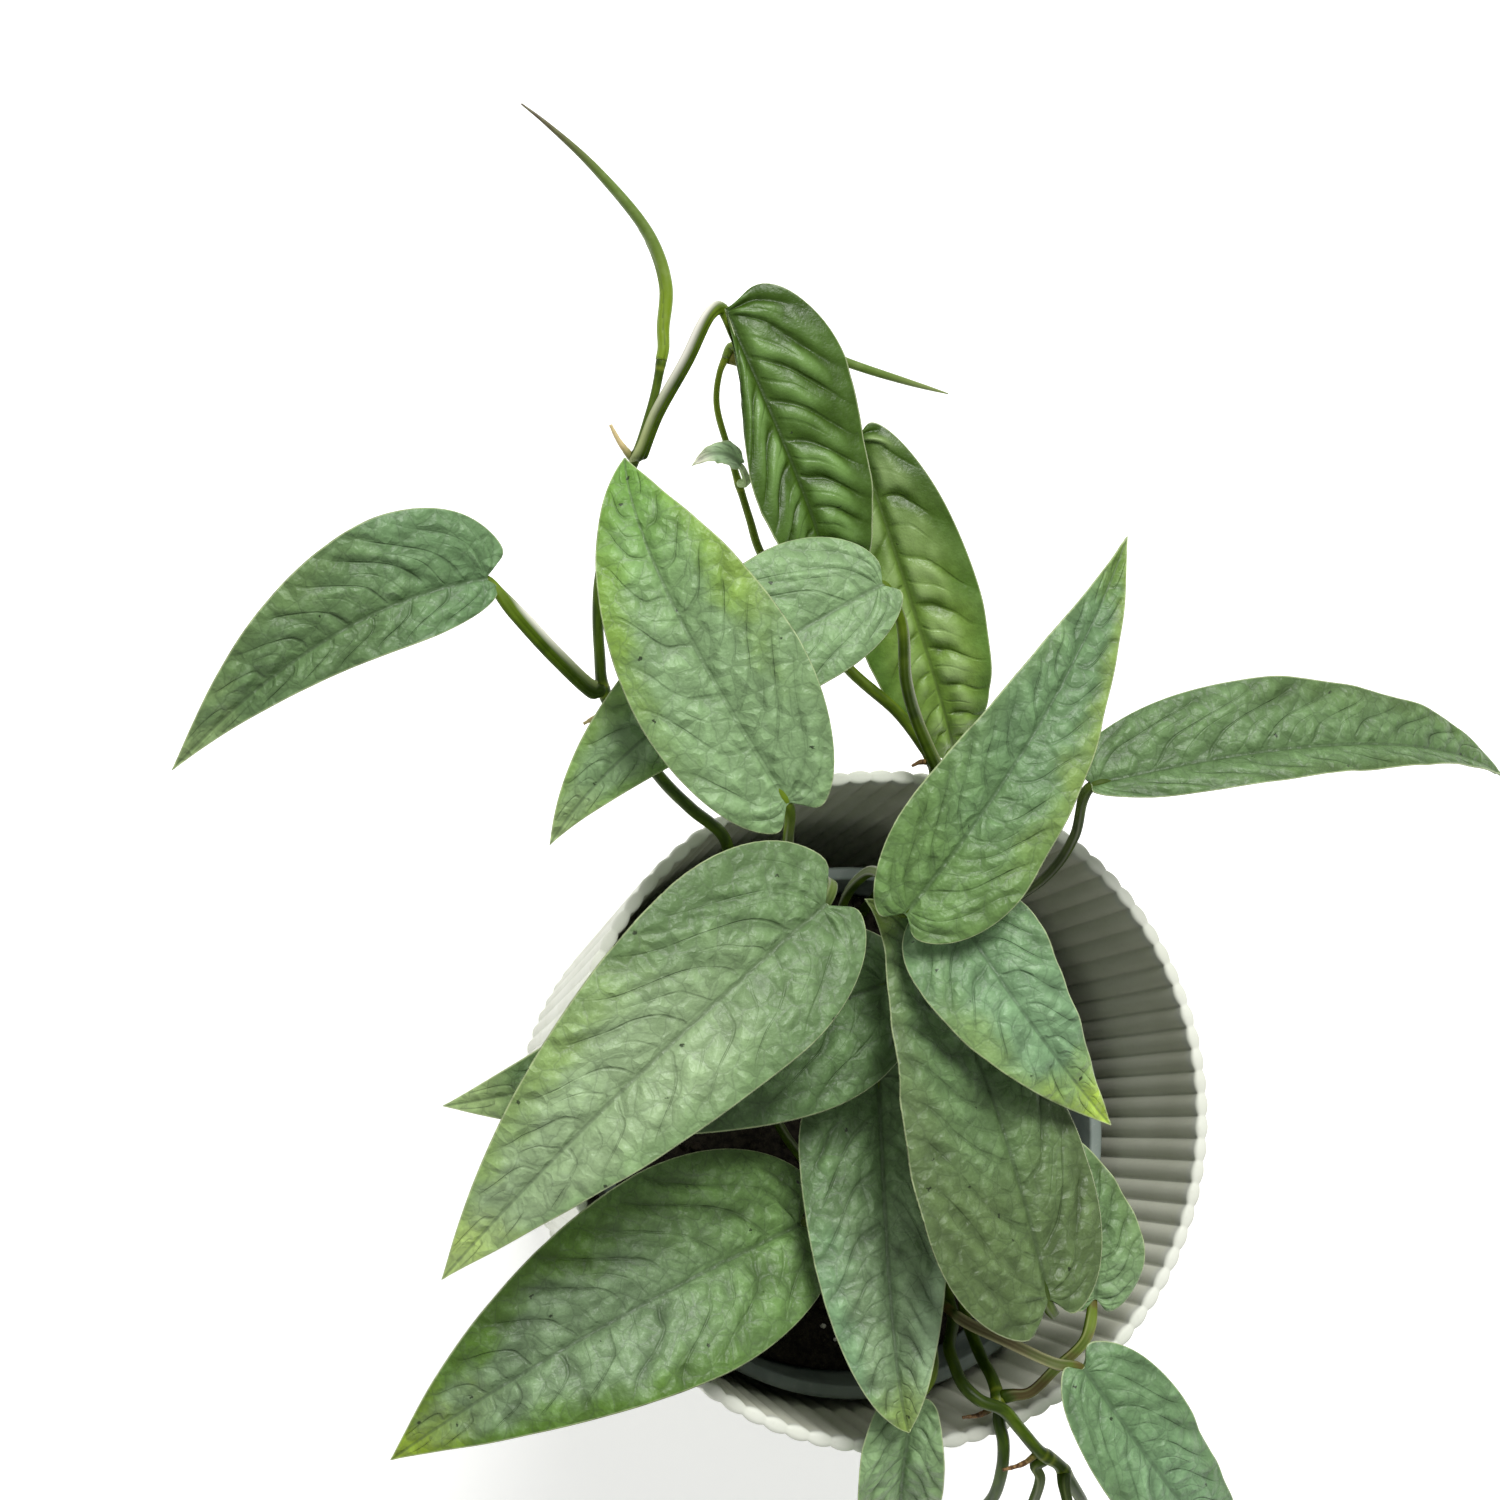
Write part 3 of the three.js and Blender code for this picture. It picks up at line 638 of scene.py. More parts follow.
def make_stem(name):
    facts = stems[name]
    route = stem_routes[name]
    length = arc_lengths(route)
    swell = np.zeros(len(route))
    ring = np.zeros(len(route))
    for place in node_places[name]:
        away = length - length[nearest(route, place)]
        swell += 0.22 * np.exp(-(away / 1.7) ** 2)
        ring += np.exp(-((away - 0.9) / 0.45) ** 2) + 0.6 * np.exp(-((away + 1.4) / 0.35) ** 2)
    swell = np.minimum(swell, 0.26)
    ring = np.minimum(ring, 1)
    slim = 1 + (facts["end_size"] - 1) * smoothstep(0.45, 1, length / length[-1])
    wobble = np.array([noise.noise(Vector(p) / 6) for p in route]) * 0.05
    fat = facts["radius"] * slim * (0.94 + swell + wobble - 0.05 * ring)
    up = carried(route, (0.3, 1, 0.2))
    young = facts["young"] * np.clip(length / length[-1] * 1.6 - 0.5, 0, 1)
    around = np.abs(np.linspace(0, 1, STEM_SIDES, endpoint=False) - 0.5)
    around = np.broadcast_to(around, (len(route), STEM_SIDES))
    shape = Shape()
    add_tube(shape, route, up, fat, STEM_SIDES, ring=ring, young=young, brown=0.0, tan=0.0, around=around,
             along=length * MM)
    for root in facts["roots"]:
        path = smooth_curve(root, 0.35)
        share = np.linspace(0, 1, len(path))
        knots = np.array([noise.noise(Vector(p) * 1.3) for p in path]) * 0.12
        side = carried(path, (0.1, 0.2, 1))
        add_tube(shape, path, side, 0.85 * (1 - 0.62 * share) + knots, ROOT_SIDES, ring=0.0, young=0.3,
                 brown=np.clip(share * 2.2, 0, 1), tan=facts["tan"], around=0.0, along=share * MM)
    shape.build(name + "_stem", [STEM], name)


# ---- the leaves ---------------------------------------------------------------------------------

# Leaf colours, as display values from 0 to 255.
TONES = {
    "bright_silver": (176, 204, 160),
    "pale_silver": (144, 168, 124),
    "silver": (128, 158, 110),
    "blue_silver": (118, 152, 110),
    "gray_silver": (112, 136, 98),
    "blue_green": (104, 136, 92),
    "gray_green": (96, 124, 78),
    "slate_green": (98, 120, 80),
    "dull_green": (86, 106, 62),
    "shade_green": (74, 100, 58),
    "sun_green": (118, 154, 82),
    "bright_green": (108, 154, 60),
    "grass": (100, 132, 72),
    "fresh_green": (108, 138, 54),
    "moss": (84, 118, 42),
    "deep_green": (56, 84, 14),
    "yellow_green": (140, 166, 78),
    "lime": (184, 214, 66),
    "pale_lime": (192, 220, 118),
    "olive_lime": (136, 162, 38),
    "straw_green": (150, 174, 114),
    "cream": (232, 224, 210),
}

RIM_SHARE = 0.985          # how far out the last column stands before the margin
RIPPLE = 0.6               # height of the margin's waves

# What a leaf has where its own row says nothing else. A pair is for the left and the right half.
LEAF_DEFAULTS = dict(
    # the margin: how far the lobes reach back, how wide the notch is, how full the lobes and the tip are
    roll=0, lobe=0.3, sinus=0.15, shoulder=0.9, taper=1.6, small=False,
    # the side veins: how many, how far ahead they meet the margin, how far they turn forward there
    veins=8, sweep=0.18, loop=0.75,
    # the swellings between them: their height, the lumps on them, and where they fade out
    quilt=0.75, lumpy=1.0, swells=(0.75, 1.0),
    # how far each half takes on its side tone toward the margin (a yellow-green margin tint by default;
    # painted light on leaf_folded's shaded half), where the tip's colour starts, and the tone of the painted
    # highlight on the swellings' crests
    side_tint=(0, 0), side_tone="yellow_green", tip_from=0.72, painted_crest_highlight=None,
    # how strongly the swellings' painted light and shade, the fine net, the veins and the painted silver
    # sheen show
    contrast=1.5, net=1.0, lines=1.0, silver=0.24, gloss=0.38, twin=False,
    # the stalk's pale sheath, the side that it shows on, and the stalk's own colour
    sheath=0.25, sheath_from=0.0, sheath_tint=(226, 224, 210), pale_side=0,
    stalk=None, dark_stalk=False, brown_stalk=0.0)

# base, middle and tip lie on the midrib. left and right are the half widths, seen from above with
# the tip ahead. roll lifts the right half and lowers the left, fold lifts both halves, and belly is
# where the blade is widest. The stalk leaves its stem near at and passes through the via points.
# tones are the colours of the centre, margins, heel and tip.
LEAVES = {
    "leaf_far_left": dict(
        base=(-93, 103, 168), middle=(-124, 89, 168), tip=(-153, 64, 152),
        left=9, right=17.5, roll=10, fold=12, belly=0.26,
        stem="vine_1", at=(-66.3, 85, 152.7), via=[(-78, 88.5, 161), (-87, 96, 166)],
        tones=("gray_green", "gray_green", "blue_green", "straw_green"),
        sweep=(0.16, 0.24), side_tint=(0.0, 0.1), contrast=1.0, sheath=1.0, pale_side=1),
    "leaf_upper": dict(
        base=(-35, 57, 184), middle=(-61, 96, 192), tip=(-69, 124, 188),
        left=17, right=18.5, roll=12, fold=8, belly=0.27,
        stem="crown_stem_2", at=(3, 18, 108), via=[(-12, 30, 124), (-24, 44, 145), (-30, 52, 164)],
        tones=("silver", "bright_green", "silver", "bright_green"),
        sweep=(0.14, 0.26), side_tint=(0.6, 0.7), twin=True, contrast=1.1, tip_from=0.3),
    "leaf_top": dict(
        base=(-48, 158, 184), middle=(-25.7, 113, 175), tip=(-20.5, 99, 160.5),
        left=19.3, right=11.7, roll=4, fold=14, belly=(0.15, 0.34),
        shoulder=(0.9, 4.5), taper=(1.15, 1.6), lobe=(0.24, 0.0), sinus=0.3,
        stem="vine_1", at=(-63, 131, 169), via=[(-60, 137, 176), (-55, 147, 182), (-51, 156, 185)],
        tones=("deep_green", "deep_green", "deep_green", "moss"), veins=12, quilt=1.8,
        sweep=(0.16, 0.2), loop=0.35, swells=(0.5, 0.92), lumpy=0.6, painted_crest_highlight="sun_green",
        sheath=1.25, pale_side=-1, net=0.15, lines=0.5, contrast=2.2, silver=0.12, gloss=0.32),
    "leaf_under_upper": dict(
        base=(-13.9, 103.6, 180), middle=(-57, 75, 176), tip=(-79, 50, 163),
        left=12, right=17.5, fold=6, belly=0.16, lobe=(0.3, 0.12),
        stem="vine_2", at=(7, 74, 145.5), via=[(0, 80, 157), (-5.5, 86.5, 167), (-10, 97.5, 178)],
        tones=("silver", "sun_green", "silver", "straw_green"),
        sweep=(0.16, 0.24), side_tint=(0.0, 0.2), contrast=1.1, sheath=0.45, pale_side=1),
    "leaf_behind": dict(
        base=(-14, 141, 162), middle=(7, 93, 148), tip=(17, 77, 132),
        left=15.2, right=14, roll=-12, fold=8, belly=0.33, lobe=(0.2, 0.2),
        stem="vine_2", at=(-44, 154, 168), via=[(-38, 155, 167.5), (-29, 153.5, 167), (-19, 148, 165)],
        tones=("fresh_green", "moss", "deep_green", "fresh_green"), veins=9, quilt=2.0,
        sweep=(0.14, 0.2), loop=0.3, swells=(0.35, 0.8), lumpy=0.6, painted_crest_highlight="straw_green",
        side_tint=(0.3, 0.2), side_tone="moss", stalk=(112, 112, 56),
        net=0.15, lines=0.5, contrast=2.2, silver=0.12, gloss=0.32),
    "leaf_right": dict(
        base=(-14, 35, 192), middle=(12, 73, 200), tip=(32, 112, 198),
        left=14, right=16, roll=-4, fold=12, belly=0.18, lobe=(0.3, 0.2),
        stem="crown_stem_2", at=(3, 22, 118), via=[(-12, 40, 140), (-14, 46, 168), (-15, 41, 187)],
        tones=("blue_green", "blue_green", "grass", "fresh_green"), veins=10,
        sweep=(0.2, 0.16), side_tint=(0.1, 0.7), dark_stalk=True, contrast=1.3),
    "leaf_far_right": dict(
        base=(35, 66, 168), middle=(97, 77, 170), tip=(144, 75, 150),
        left=16.5, right=8.5, roll=18, fold=15, belly=0.28, lobe=(0.3, 0.15),
        stem="crown_stem_2", at=(3, 20, 113), via=[(28, 42, 118), (37, 50, 134), (37, 57, 153)],
        tones=("gray_green", "shade_green", "gray_green", "grass"), veins=10,
        sweep=(0.2, 0.12), side_tint=(0.1, 0.1), dark_stalk=True),
    "leaf_mid_right": dict(
        base=(-1, 37, 184), middle=(13, 14, 189), tip=(35, -5, 174),
        left=13, right=15.5, roll=-4, fold=6, belly=0.16,
        stem="crown_stem_2", at=(4, 24, 127), via=[(5, 35, 142), (3, 43, 160), (0, 42, 178)],
        tones=("blue_silver", "blue_silver", "blue_green", "lime"), veins=7,
        side_tint=(0.0, 0.5), tip_from=0.6, contrast=1.3),
    "leaf_dark": dict(
        base=(20, -39, 176), middle=(2, 15.5, 178), tip=(-19, 39, 182),
        left=24.5, right=16.5, roll=-12, fold=6, belly=0.15,
        stem="crown_stem_3", at=(9, -25, 112), via=[(17, -27, 126), (24, -37, 150), (23, -42, 170)],
        tones=("gray_green", "slate_green", "dull_green", "yellow_green"), veins=9,
        sweep=(0.2, 0.16), side_tint=(0.1, 0.0), dark_stalk=True, silver=0.15, contrast=1.8),
    # the left half runs to bright_silver toward its margin: painted light on the half that lies in shade
    "leaf_folded": dict(
        base=(-7, 6, 150), middle=(-7, -43, 158), tip=(-3, -66, 156),
        left=14.5, right=18, roll=-16, fold=18, belly=0.14,
        stem="crown_stem_1", at=(-24, 13, 113), via=[(-16, 13, 122), (-8, 14, 140)],
        tones=("gray_silver", "blue_silver", "gray_green", "yellow_green"), veins=9,
        side_tint=(0.6, 0.0), side_tone="bright_silver", contrast=2.0, tip_from=0.6),
    # dark shade_green tones: painted shade from the leaves above it
    "leaf_shaded": dict(
        base=(-9, 24, 164), middle=(-57, 8, 160), tip=(-97, -1, 140),
        left=20, right=18, fold=6, belly=0.2,
        stem="crown_stem_1", at=(-25, 16, 123), via=[(-14, 24, 140), (-5, 27, 158)],
        tones=("shade_green", "shade_green", "gray_green", "straw_green"),
        sweep=(0.16, 0.24), side_tint=(0.0, 0.1), contrast=1.8),
    "leaf_broad": dict(
        base=(-29, 37, 190), middle=(-71, -1, 191), tip=(-99, -34, 168),
        left=18, right=22.5, fold=9, belly=0.18,
        stem="crown_stem_1", at=(-26, 17.5, 128.5), via=[(-27, 36, 142), (-28, 42, 166), (-27, 41, 186)],
        tones=("pale_silver", "silver", "gray_green", "pale_lime"), quilt=0.9,
        sweep=(0.12, 0.24), side_tint=(0.1, 0.5), dark_stalk=True, contrast=1.2, silver=0.35),
    "leaf_lower_left": dict(
        base=(-22, -25, 143), middle=(-70, -47, 151), tip=(-105, -71, 134),
        left=20, right=24, roll=-8, fold=10, belly=0.24,
        stem="crown_stem_1", at=(-24, 11, 102), via=[(-20, -6, 120), (-14, -21, 136)],
        tones=("gray_silver", "moss", "grass", "olive_lime"), veins=9, quilt=1.2, contrast=2.1,
        sweep=(0.12, 0.24), side_tint=(0.0, 0.8), side_tone="moss"),
    "leaf_small": dict(
        base=(41, -41, 148), middle=(38, -22, 151), tip=(28, 0, 150),
        left=11, right=11, fold=6, belly=0.3,
        stem="vine_4", at=(21, -61, 141.8), via=[(27, -60, 144.5), (32, -55, 147), (38, -49, 149)],
        tones=("gray_green", "gray_green", "silver", "silver"), veins=7, quilt=0.6,
        side_tint=(0.1, 0.1), sheath=0.3, brown_stalk=0.9, sheath_tint=(170, 172, 116)),
    "leaf_lower_right": dict(
        base=(34, -54, 158), middle=(63, -87, 146), tip=(90, -106, 112),
        left=14, right=13.5, roll=10, fold=10, belly=0.2,
        stem="crown_stem_3", at=(9, -24, 108),
        via=[(10, -35, 116), (14, -45, 138), (20, -49, 151), (28, -53, 157)],
        tones=("blue_silver", "blue_green", "blue_green", "silver"), veins=9,
        side_tint=(0.0, 0.1), sheath=0.7, sheath_from=0.45, brown_stalk=0.9, dark_stalk=True,
        sheath_tint=(196, 192, 146)),
    "leaf_hanging": dict(
        base=(1, -62, 146), middle=(1, -80, 137), tip=(12, -107, 98),
        left=9, right=12, roll=-10, fold=30, belly=0.4,
        stem="crown_stem_3", at=(8, -22, 103), via=[(3, -34, 118), (7, -46, 136), (5, -56, 146)],
        tones=("silver", "silver", "silver", "grass"), side_tint=(0.1, 0.1)),
    "leaf_trailing_1": dict(
        base=(41, -95, 139), middle=(60, -96, 136), tip=(80, -104, 114),
        left=11, right=11, fold=10, belly=0.25,
        stem="vine_3", at=(36, -76.5, 140.4), via=[(36, -84, 142.5), (38, -92, 142)],
        tones=("blue_silver", "blue_silver", "blue_silver", "silver"), veins=7, side_tint=(0.1, 0.2)),
    "leaf_trailing_2": dict(
        base=(34, -95, 119), middle=(38, -108, 96), tip=(34, -112, 58),
        left=13, right=13, fold=12, belly=0.25,
        stem="vine_3", at=(31, -73.5, 143.6), via=[(31, -78, 139), (32, -86, 130)],
        tones=("gray_silver", "gray_silver", "gray_silver", "yellow_green"), side_tint=(0.2, 0.1)),
    "leaf_trailing_3": dict(
        base=(10, -100, 92), middle=(-4, -108, 72), tip=(-10, -104, 38),
        left=13, right=13, fold=12, belly=0.25,
        stem="vine_4", at=(20, -94, 96), via=[(16, -98, 94)],
        tones=("gray_silver", "gray_silver", "gray_silver", "yellow_green"), side_tint=(0.1, 0.2)),
    "young_leaf": dict(
        base=(-40, 132, 164), middle=(-45.5, 133.3, 166), tip=(-50.8, 130.3, 165),
        left=2.7, right=2.7, fold=15, belly=0.3, small=True,
        stem="vine_2", at=(-38.3, 129.5, 157.8), via=[(-38.6, 131, 161)],
        tones=("bright_silver", "bright_silver", "bright_silver", "cream"), veins=4, quilt=0.08,
        net=0.0, tip_from=0.45, stalk=(150, 172, 118)),
}


def of_half(value, half):
    """A number that both halves share, or the half's own one of a pair."""
    return np.broadcast_to(value, 2)[half]


def outline(leaf, half, reach):
    """Along, behind and width of a half's margin, from the notch at 0 round the lobe to the tip at 1."""
    belly, shoulder, taper = (of_half(leaf[key], half) for key in ("belly", "shoulder", "taper"))
    turn = np.clip(reach / belly, 0, 1) * math.pi / 2
    ahead = np.clip((reach - belly) / (1 - belly), 0, 1)
    in_base = reach < belly
    along = np.where(in_base, belly * (1 - np.cos(turn)), belly + (1 - belly) * ahead)
    behind = np.where(in_base, np.cos(turn) - np.exp(-(np.sin(turn) / leaf["sinus"]) ** 2), 0)
    width = np.where(in_base, np.sin(turn) ** shoulder, np.maximum(1 - ahead ** taper, 0) ** 1.1)
    return along, behind, width


class Midrib:
    """The midrib's curve, which passes through the middle point halfway, and its axes."""

    def __init__(self, leaf):
        base, middle, tip = vectors([leaf[key] for key in ("base", "middle", "tip")])
        self.base, self.tip = base, tip
        self.control = 2 * middle - 0.5 * (base + tip)
        self.roll = math.radians(leaf["roll"])

    def place(self, t):
        t = np.asarray(t)[..., None]
        return (1 - t) ** 2 * self.base + 2 * t * (1 - t) * self.control + t ** 2 * self.tip

    def axes(self, t):
        t = np.asarray(t)[..., None]
        along = unit((1 - t) * (self.control - self.base) + t * (self.tip - self.control))
        flat = unit(np.cross(along, (0, 0, 1)))
        right = flat * math.cos(self.roll) - np.cross(along, flat) * math.sin(self.roll)
        return along, right, np.cross(right, along)

    def length(self):
        return arc_lengths(self.place(np.linspace(0, 1, 60)))[-1]


def lumps(places, size):
    """Smooth noise from about -1 to 1 at each place, with lumps about size across."""
    flat = places.reshape(-1, 3) / size
    return np.array([noise.noise(Vector(place)) for place in flat]).reshape(places.shape[:-1])


# Rows that fan out round the lobes, rows from the notch to the tip, and columns on each half.
GRID = (24, 130, 23)
SMALL_GRID = (10, 30, 7)
FIRST_ROW = 0.012          # where the fan ends on the midrib
STAGGER = 0.42             # how far the right half's side veins are set off, in vein steps


class Blade:
    """The upper surface of a leaf as a grid. Its rows follow the side veins."""

    def __init__(self, leaf, seed):
        self.leaf = leaf
        self.seed = seed
        self.rib = Midrib(leaf)
        fan_rows, main_rows, columns = SMALL_GRID if leaf["small"] else GRID
        fan = np.linspace(0, 1, fan_rows, endpoint=False)
        main = np.linspace(0, 1, main_rows + 1)
        self.middle = columns
        share = np.append((np.arange(columns) / (columns - 1)) ** 1.2 * RIM_SHARE, 1.0)
        self.share = np.concatenate([-share[:0:-1], share])
        self.on_rib = np.concatenate([FIRST_ROW * fan, FIRST_ROW + (1 - FIRST_ROW) * main])
        shape = (len(self.on_rib), len(self.share))
        self.place, self.normal = np.zeros((2, *shape, 3))
        self.vein, self.lateral, self.full = np.zeros((3, *shape))
        self.fill_half(fan, main, 0, leaf["left"], 0.0)
        self.fill_half(fan, main, 1, leaf["right"], STAGGER)
        self.vein[:, self.middle] -= STAGGER / 2
        self.out = np.broadcast_to(np.abs(self.share), shape)
        self.signed = self.lateral * np.sign(self.share)
        self.bend_veins()
        self.relief = self.find_relief()
        self.place = self.place + self.normal * self.relief[..., None]

    def fill_half(self, fan, main, half, half_width, offset):
        leaf, on_rib = self.leaf, self.on_rib[:, None]
        side, sweep, lobe = (-1, 1)[half], of_half(leaf["sweep"], half), of_half(leaf["lobe"], half)
        chosen = np.where(self.share * side >= 0)[0]
        out = np.abs(self.share[chosen])[None, :]
        reach = np.concatenate([sweep * fan ** 1.5, main + sweep * (1 - main) ** 1.3])[:, None]
        margin, behind, width = outline(leaf, half, reach)
        t = on_rib + (margin - on_rib) * out ** 1.35
        along, right, face = self.rib.axes(t)
        full = half_width * width
        span = full * out
        fold = math.radians(leaf["fold"])
        arch = 0.10 * full * out * (1 - out)
        droop = -0.05 * full * out ** 3
        ripple = np.sin(2 * math.pi * (2.6 * reach + 0.31 * self.seed + 0.5 * side))
        ripple = ripple + 0.5 * np.sin(2 * math.pi * (6.1 * reach + 0.57 * self.seed + 0.3 * side))
        ripple = RIPPLE * out ** 2.5 * ripple * np.minimum(width * 1.5, 1)
        lift = span * math.sin(fold) + arch + droop + ripple
        self.place[:, chosen] = (self.rib.place(t)
                                 - along * (lobe * half_width * behind * out ** 1.15)[..., None]
                                 + right * (side * span * math.cos(fold))[..., None]
                                 + face * lift[..., None])
        self.normal[:, chosen] = face * math.cos(fold) - right * side * math.sin(fold)
        count = np.concatenate([-2.2 * (1 - fan), leaf["veins"] * main ** 0.95])[:, None]
        self.vein[:, chosen] = count + offset
        self.lateral[:, chosen] = span
        self.full[:, chosen] = full

    def bend_veins(self):
        """Turn the side veins forward before the margin, and make them waver."""
        layer = np.full_like(self.signed, 9.7 * self.seed)
        chart = np.stack([self.vein * self.spacing(), self.signed, layer], axis=2)
        waver = 0.11 * lumps(chart, 9) + 0.05 * lumps(chart, 3.5)
        loop = self.leaf["loop"] * smoothstep(0.3, 0.85, self.out)
        near_rib = smoothstep(0.2, 2.0, self.lateral)
        self.vein = self.vein - loop + waver * near_rib
        self.chart = chart

    def spacing(self):
        return self.rib.length() / self.leaf["veins"]

    def find_relief(self):
        """Heights over the plain blade: swellings between the side veins, with lumps on them, and
        a groove over the midrib."""
        leaf, out, lateral = self.leaf, self.out, self.lateral
        swell = np.abs(np.sin(math.pi * self.vein)) ** 0.65
        minor = np.abs(np.cos(math.pi * self.vein)) ** 0.7 * (1 - smoothstep(0.45, 0.8, out))
        small_lumps = np.zeros_like(out)
        if not leaf["small"]:
            small_lumps = 0.8 * lumps(self.chart * (1, 0.7, 1), 4.6) + 0.3 * lumps(self.chart + 31, 2.6)
        calm = smoothstep(0.2, 2.6, lateral) * (1 - 0.8 * smoothstep(*leaf["swells"], out))
        calm = calm * np.minimum(self.full / (0.45 * max(leaf["left"], leaf["right"])), 1)
        self.height = (0.75 * swell + 0.22 * minor + leaf["lumpy"] * small_lumps - 0.5) * calm
        groove = np.exp(-(lateral / 0.75) ** 2) * (self.full > 0.5)
        return leaf["quilt"] * self.height - 0.3 * groove

    def thickness(self):
        """The blade thins to its margin. Under it stand the midrib and, lower, the side veins."""
        thick = 0.16 + 0.32 * np.sqrt(np.maximum(1 - self.out ** 2, 0))
        ridge = (0.95 * (1 - self.on_rib) ** 0.8 + 0.12)[:, None] * np.exp(-(self.lateral / 1.15) ** 2)
        between = np.abs(np.sin(math.pi * self.vein)) ** 0.75
        side_ridge = 0.22 * (1 - between) ** 2 * smoothstep(0.3, 2.0, self.lateral) * (1 - self.out)
        if self.leaf["small"]:
            return 0.6 * thick + 0.3 * ridge
        return thick + ridge + side_ridge

    def add_to(self, shape):
        """Two skins that meet at the margin, at the notch and at the tip."""
        top = self.place
        bottom = top - self.normal * self.thickness()[..., None]
        rows, columns = self.out.shape
        corners, index = [], {}
        facts = dict(across=np.broadcast_to(self.share, self.out.shape),
                     ahead=np.broadcast_to(self.on_rib[:, None], self.out.shape),
                     vein=self.vein, lateral=self.signed, rim=self.full - self.lateral, height=self.height)
        numbers = {key: [] for key in (*facts, "under")}

        def corner(r, c, layer):
            at_end = r in (0, rows - 1)
            shared = at_end or c in (0, columns - 1)
            if at_end:
                c = self.middle
            key = (r, c, 0 if shared else layer)
            if key not in index:
                index[key] = len(corners)
                skin = top if layer > 0 else bottom
                corners.append((top[r, c] + bottom[r, c]) / 2 if shared else skin[r, c])
                for fact, values in facts.items():
                    numbers[fact].append(values[r, c])
                numbers["under"].append(1.0 if layer < 0 and not shared else 0.0)
            return index[key]

        faces = []
        for r in range(rows - 1):
            for c in range(columns - 1):
                for layer in (1, -1):
                    face = [corner(r, c, layer), corner(r, c + 1, layer),
                            corner(r + 1, c + 1, layer), corner(r + 1, c, layer)]
                    face = [p for k, p in enumerate(face) if p != face[k - 1]]
                    faces.append(face[::layer])
        shape.add(corners, faces, **numbers)


UNDER_BLADE = ((0.0, 1.35), (0.05, 1.5), (0.11, 1.3))   # share of the midrib, depth under it
PETIOLE_SIDES = 32


def petiole_route(leaf, rib):
    """The stalk's centreline, from inside its stem to just under the blade's base."""
    stem = stem_routes[leaf["stem"]]
    at = nearest(stem, leaf["at"])
    centre, along = stem[at], tangents(stem)[at]
    away = vectors(leaf["via"][0]) - centre
    away = unit(away - along * np.dot(away, along))
    radius = stems[leaf["stem"]]["radius"]
    face = rib.axes(0.0)[2]
    scale = 0.5 if leaf["small"] else 1.0
    foot = centre + away * 0.5 * radius
    seat = centre + away * (radius + 0.4)
    knee = seat + away * 1.5
    under = [rib.place(t) - face * drop * scale for t, drop in UNDER_BLADE]
    node_places[leaf["stem"]].append(tuple(centre))
    return smooth_curve([foot, seat, knee, *leaf["via"], *under], 0.55), face


def add_petiole(shape, leaf, rib):
    """The stalk: channelled on its upper side, with a thin pale sheath along the channel's edges."""
    route, face = petiole_route(leaf, rib)
    up = carried(route[::-1], face)[::-1]
    length = arc_lengths(route)
    total = length[-1]
    scale = 0.6 if leaf["small"] else 1.0
    to_blade = total - length
    joined = UNDER_BLADE[-1][0] * rib.length()
    fat = 0.92 + 0.42 * np.exp(-(length / 2.6) ** 2) + 0.14 * np.exp(-((to_blade - joined - 5) / 3.0) ** 2)
    fat = fat * (0.25 + 0.75 * smoothstep(0, joined + 1.5, to_blade))
    sheath_end = (0.78 if leaf["pale_side"] else 0.9) * total
    sheath = leaf["sheath"] * (1 - smoothstep(sheath_end - 0.3 * total, sheath_end, length) ** 2)
    sheath_start = leaf["sheath_from"] * total
    sheath = sheath * smoothstep(0.5, 3, length - sheath_start)
    angle = angles_round(PETIOLE_SIDES)
    signed = (angle + math.pi) % (2 * math.pi) - math.pi
    pale_side = leaf["pale_side"]
    wings = np.exp(-((np.abs(signed) - 0.85 - 0.65 * abs(pale_side)) / 0.22) ** 2)[None, :]
    favoured = 1 + 0.9 * pale_side * np.sign(signed)[None, :]
    channel = np.exp(-(signed / 0.5) ** 2)[None, :]
    section = 1 + sheath[:, None] * 0.8 * wings * favoured - channel * (0.12 + 0.3 * sheath[:, None])
    lit = np.clip(1 + pale_side * np.sign(signed), 0, 1)[None, :]
    in_channel = 0.5 * channel * (pale_side == 0)
    pale = np.clip(sheath[:, None] * lit * (1.5 * wings + in_channel), 0, 1)
    add_tube(shape, route, up, PETIOLE_RADIUS * scale * fat, PETIOLE_SIDES, 1, section, pale=pale,
             along=length * MM, ahead=length / total)


def petiole_material(name, leaf):
    n = Nodes(name + "_stalk")
    pale, ahead, along = n.attributes("pale", "ahead", "along")
    streak = n.noise(0.9, 3, n.combine(n.times(pale, 0.004), n.times(along, 0.1)))
    dark = n.blend((44, 64, 4), (72, 94, 10), streak, 0.35, 0.7)
    light = n.blend((78, 102, 8), (108, 130, 36), streak, 0.35, 0.7)
    colour = dark if leaf["dark_stalk"] else n.blend(dark, light, ahead, 0.3, 0.95)
    if leaf["brown_stalk"]:
        blush = n.times(n.ramp(n.noise(7, 2), 0.4, 0.6), leaf["brown_stalk"])
        colour = n.mix(blush, colour, (84, 62, 36))
    if leaf["stalk"]:
        colour = leaf["stalk"]
    sheath = n.blend((160, 170, 116), leaf["sheath_tint"], ahead, 0.1, 0.5)
    colour = n.mix(pale, colour, sheath)
    n.bump(streak, 0.1, 0.5)
    return n.finish(colour, 0.5, 0.12)


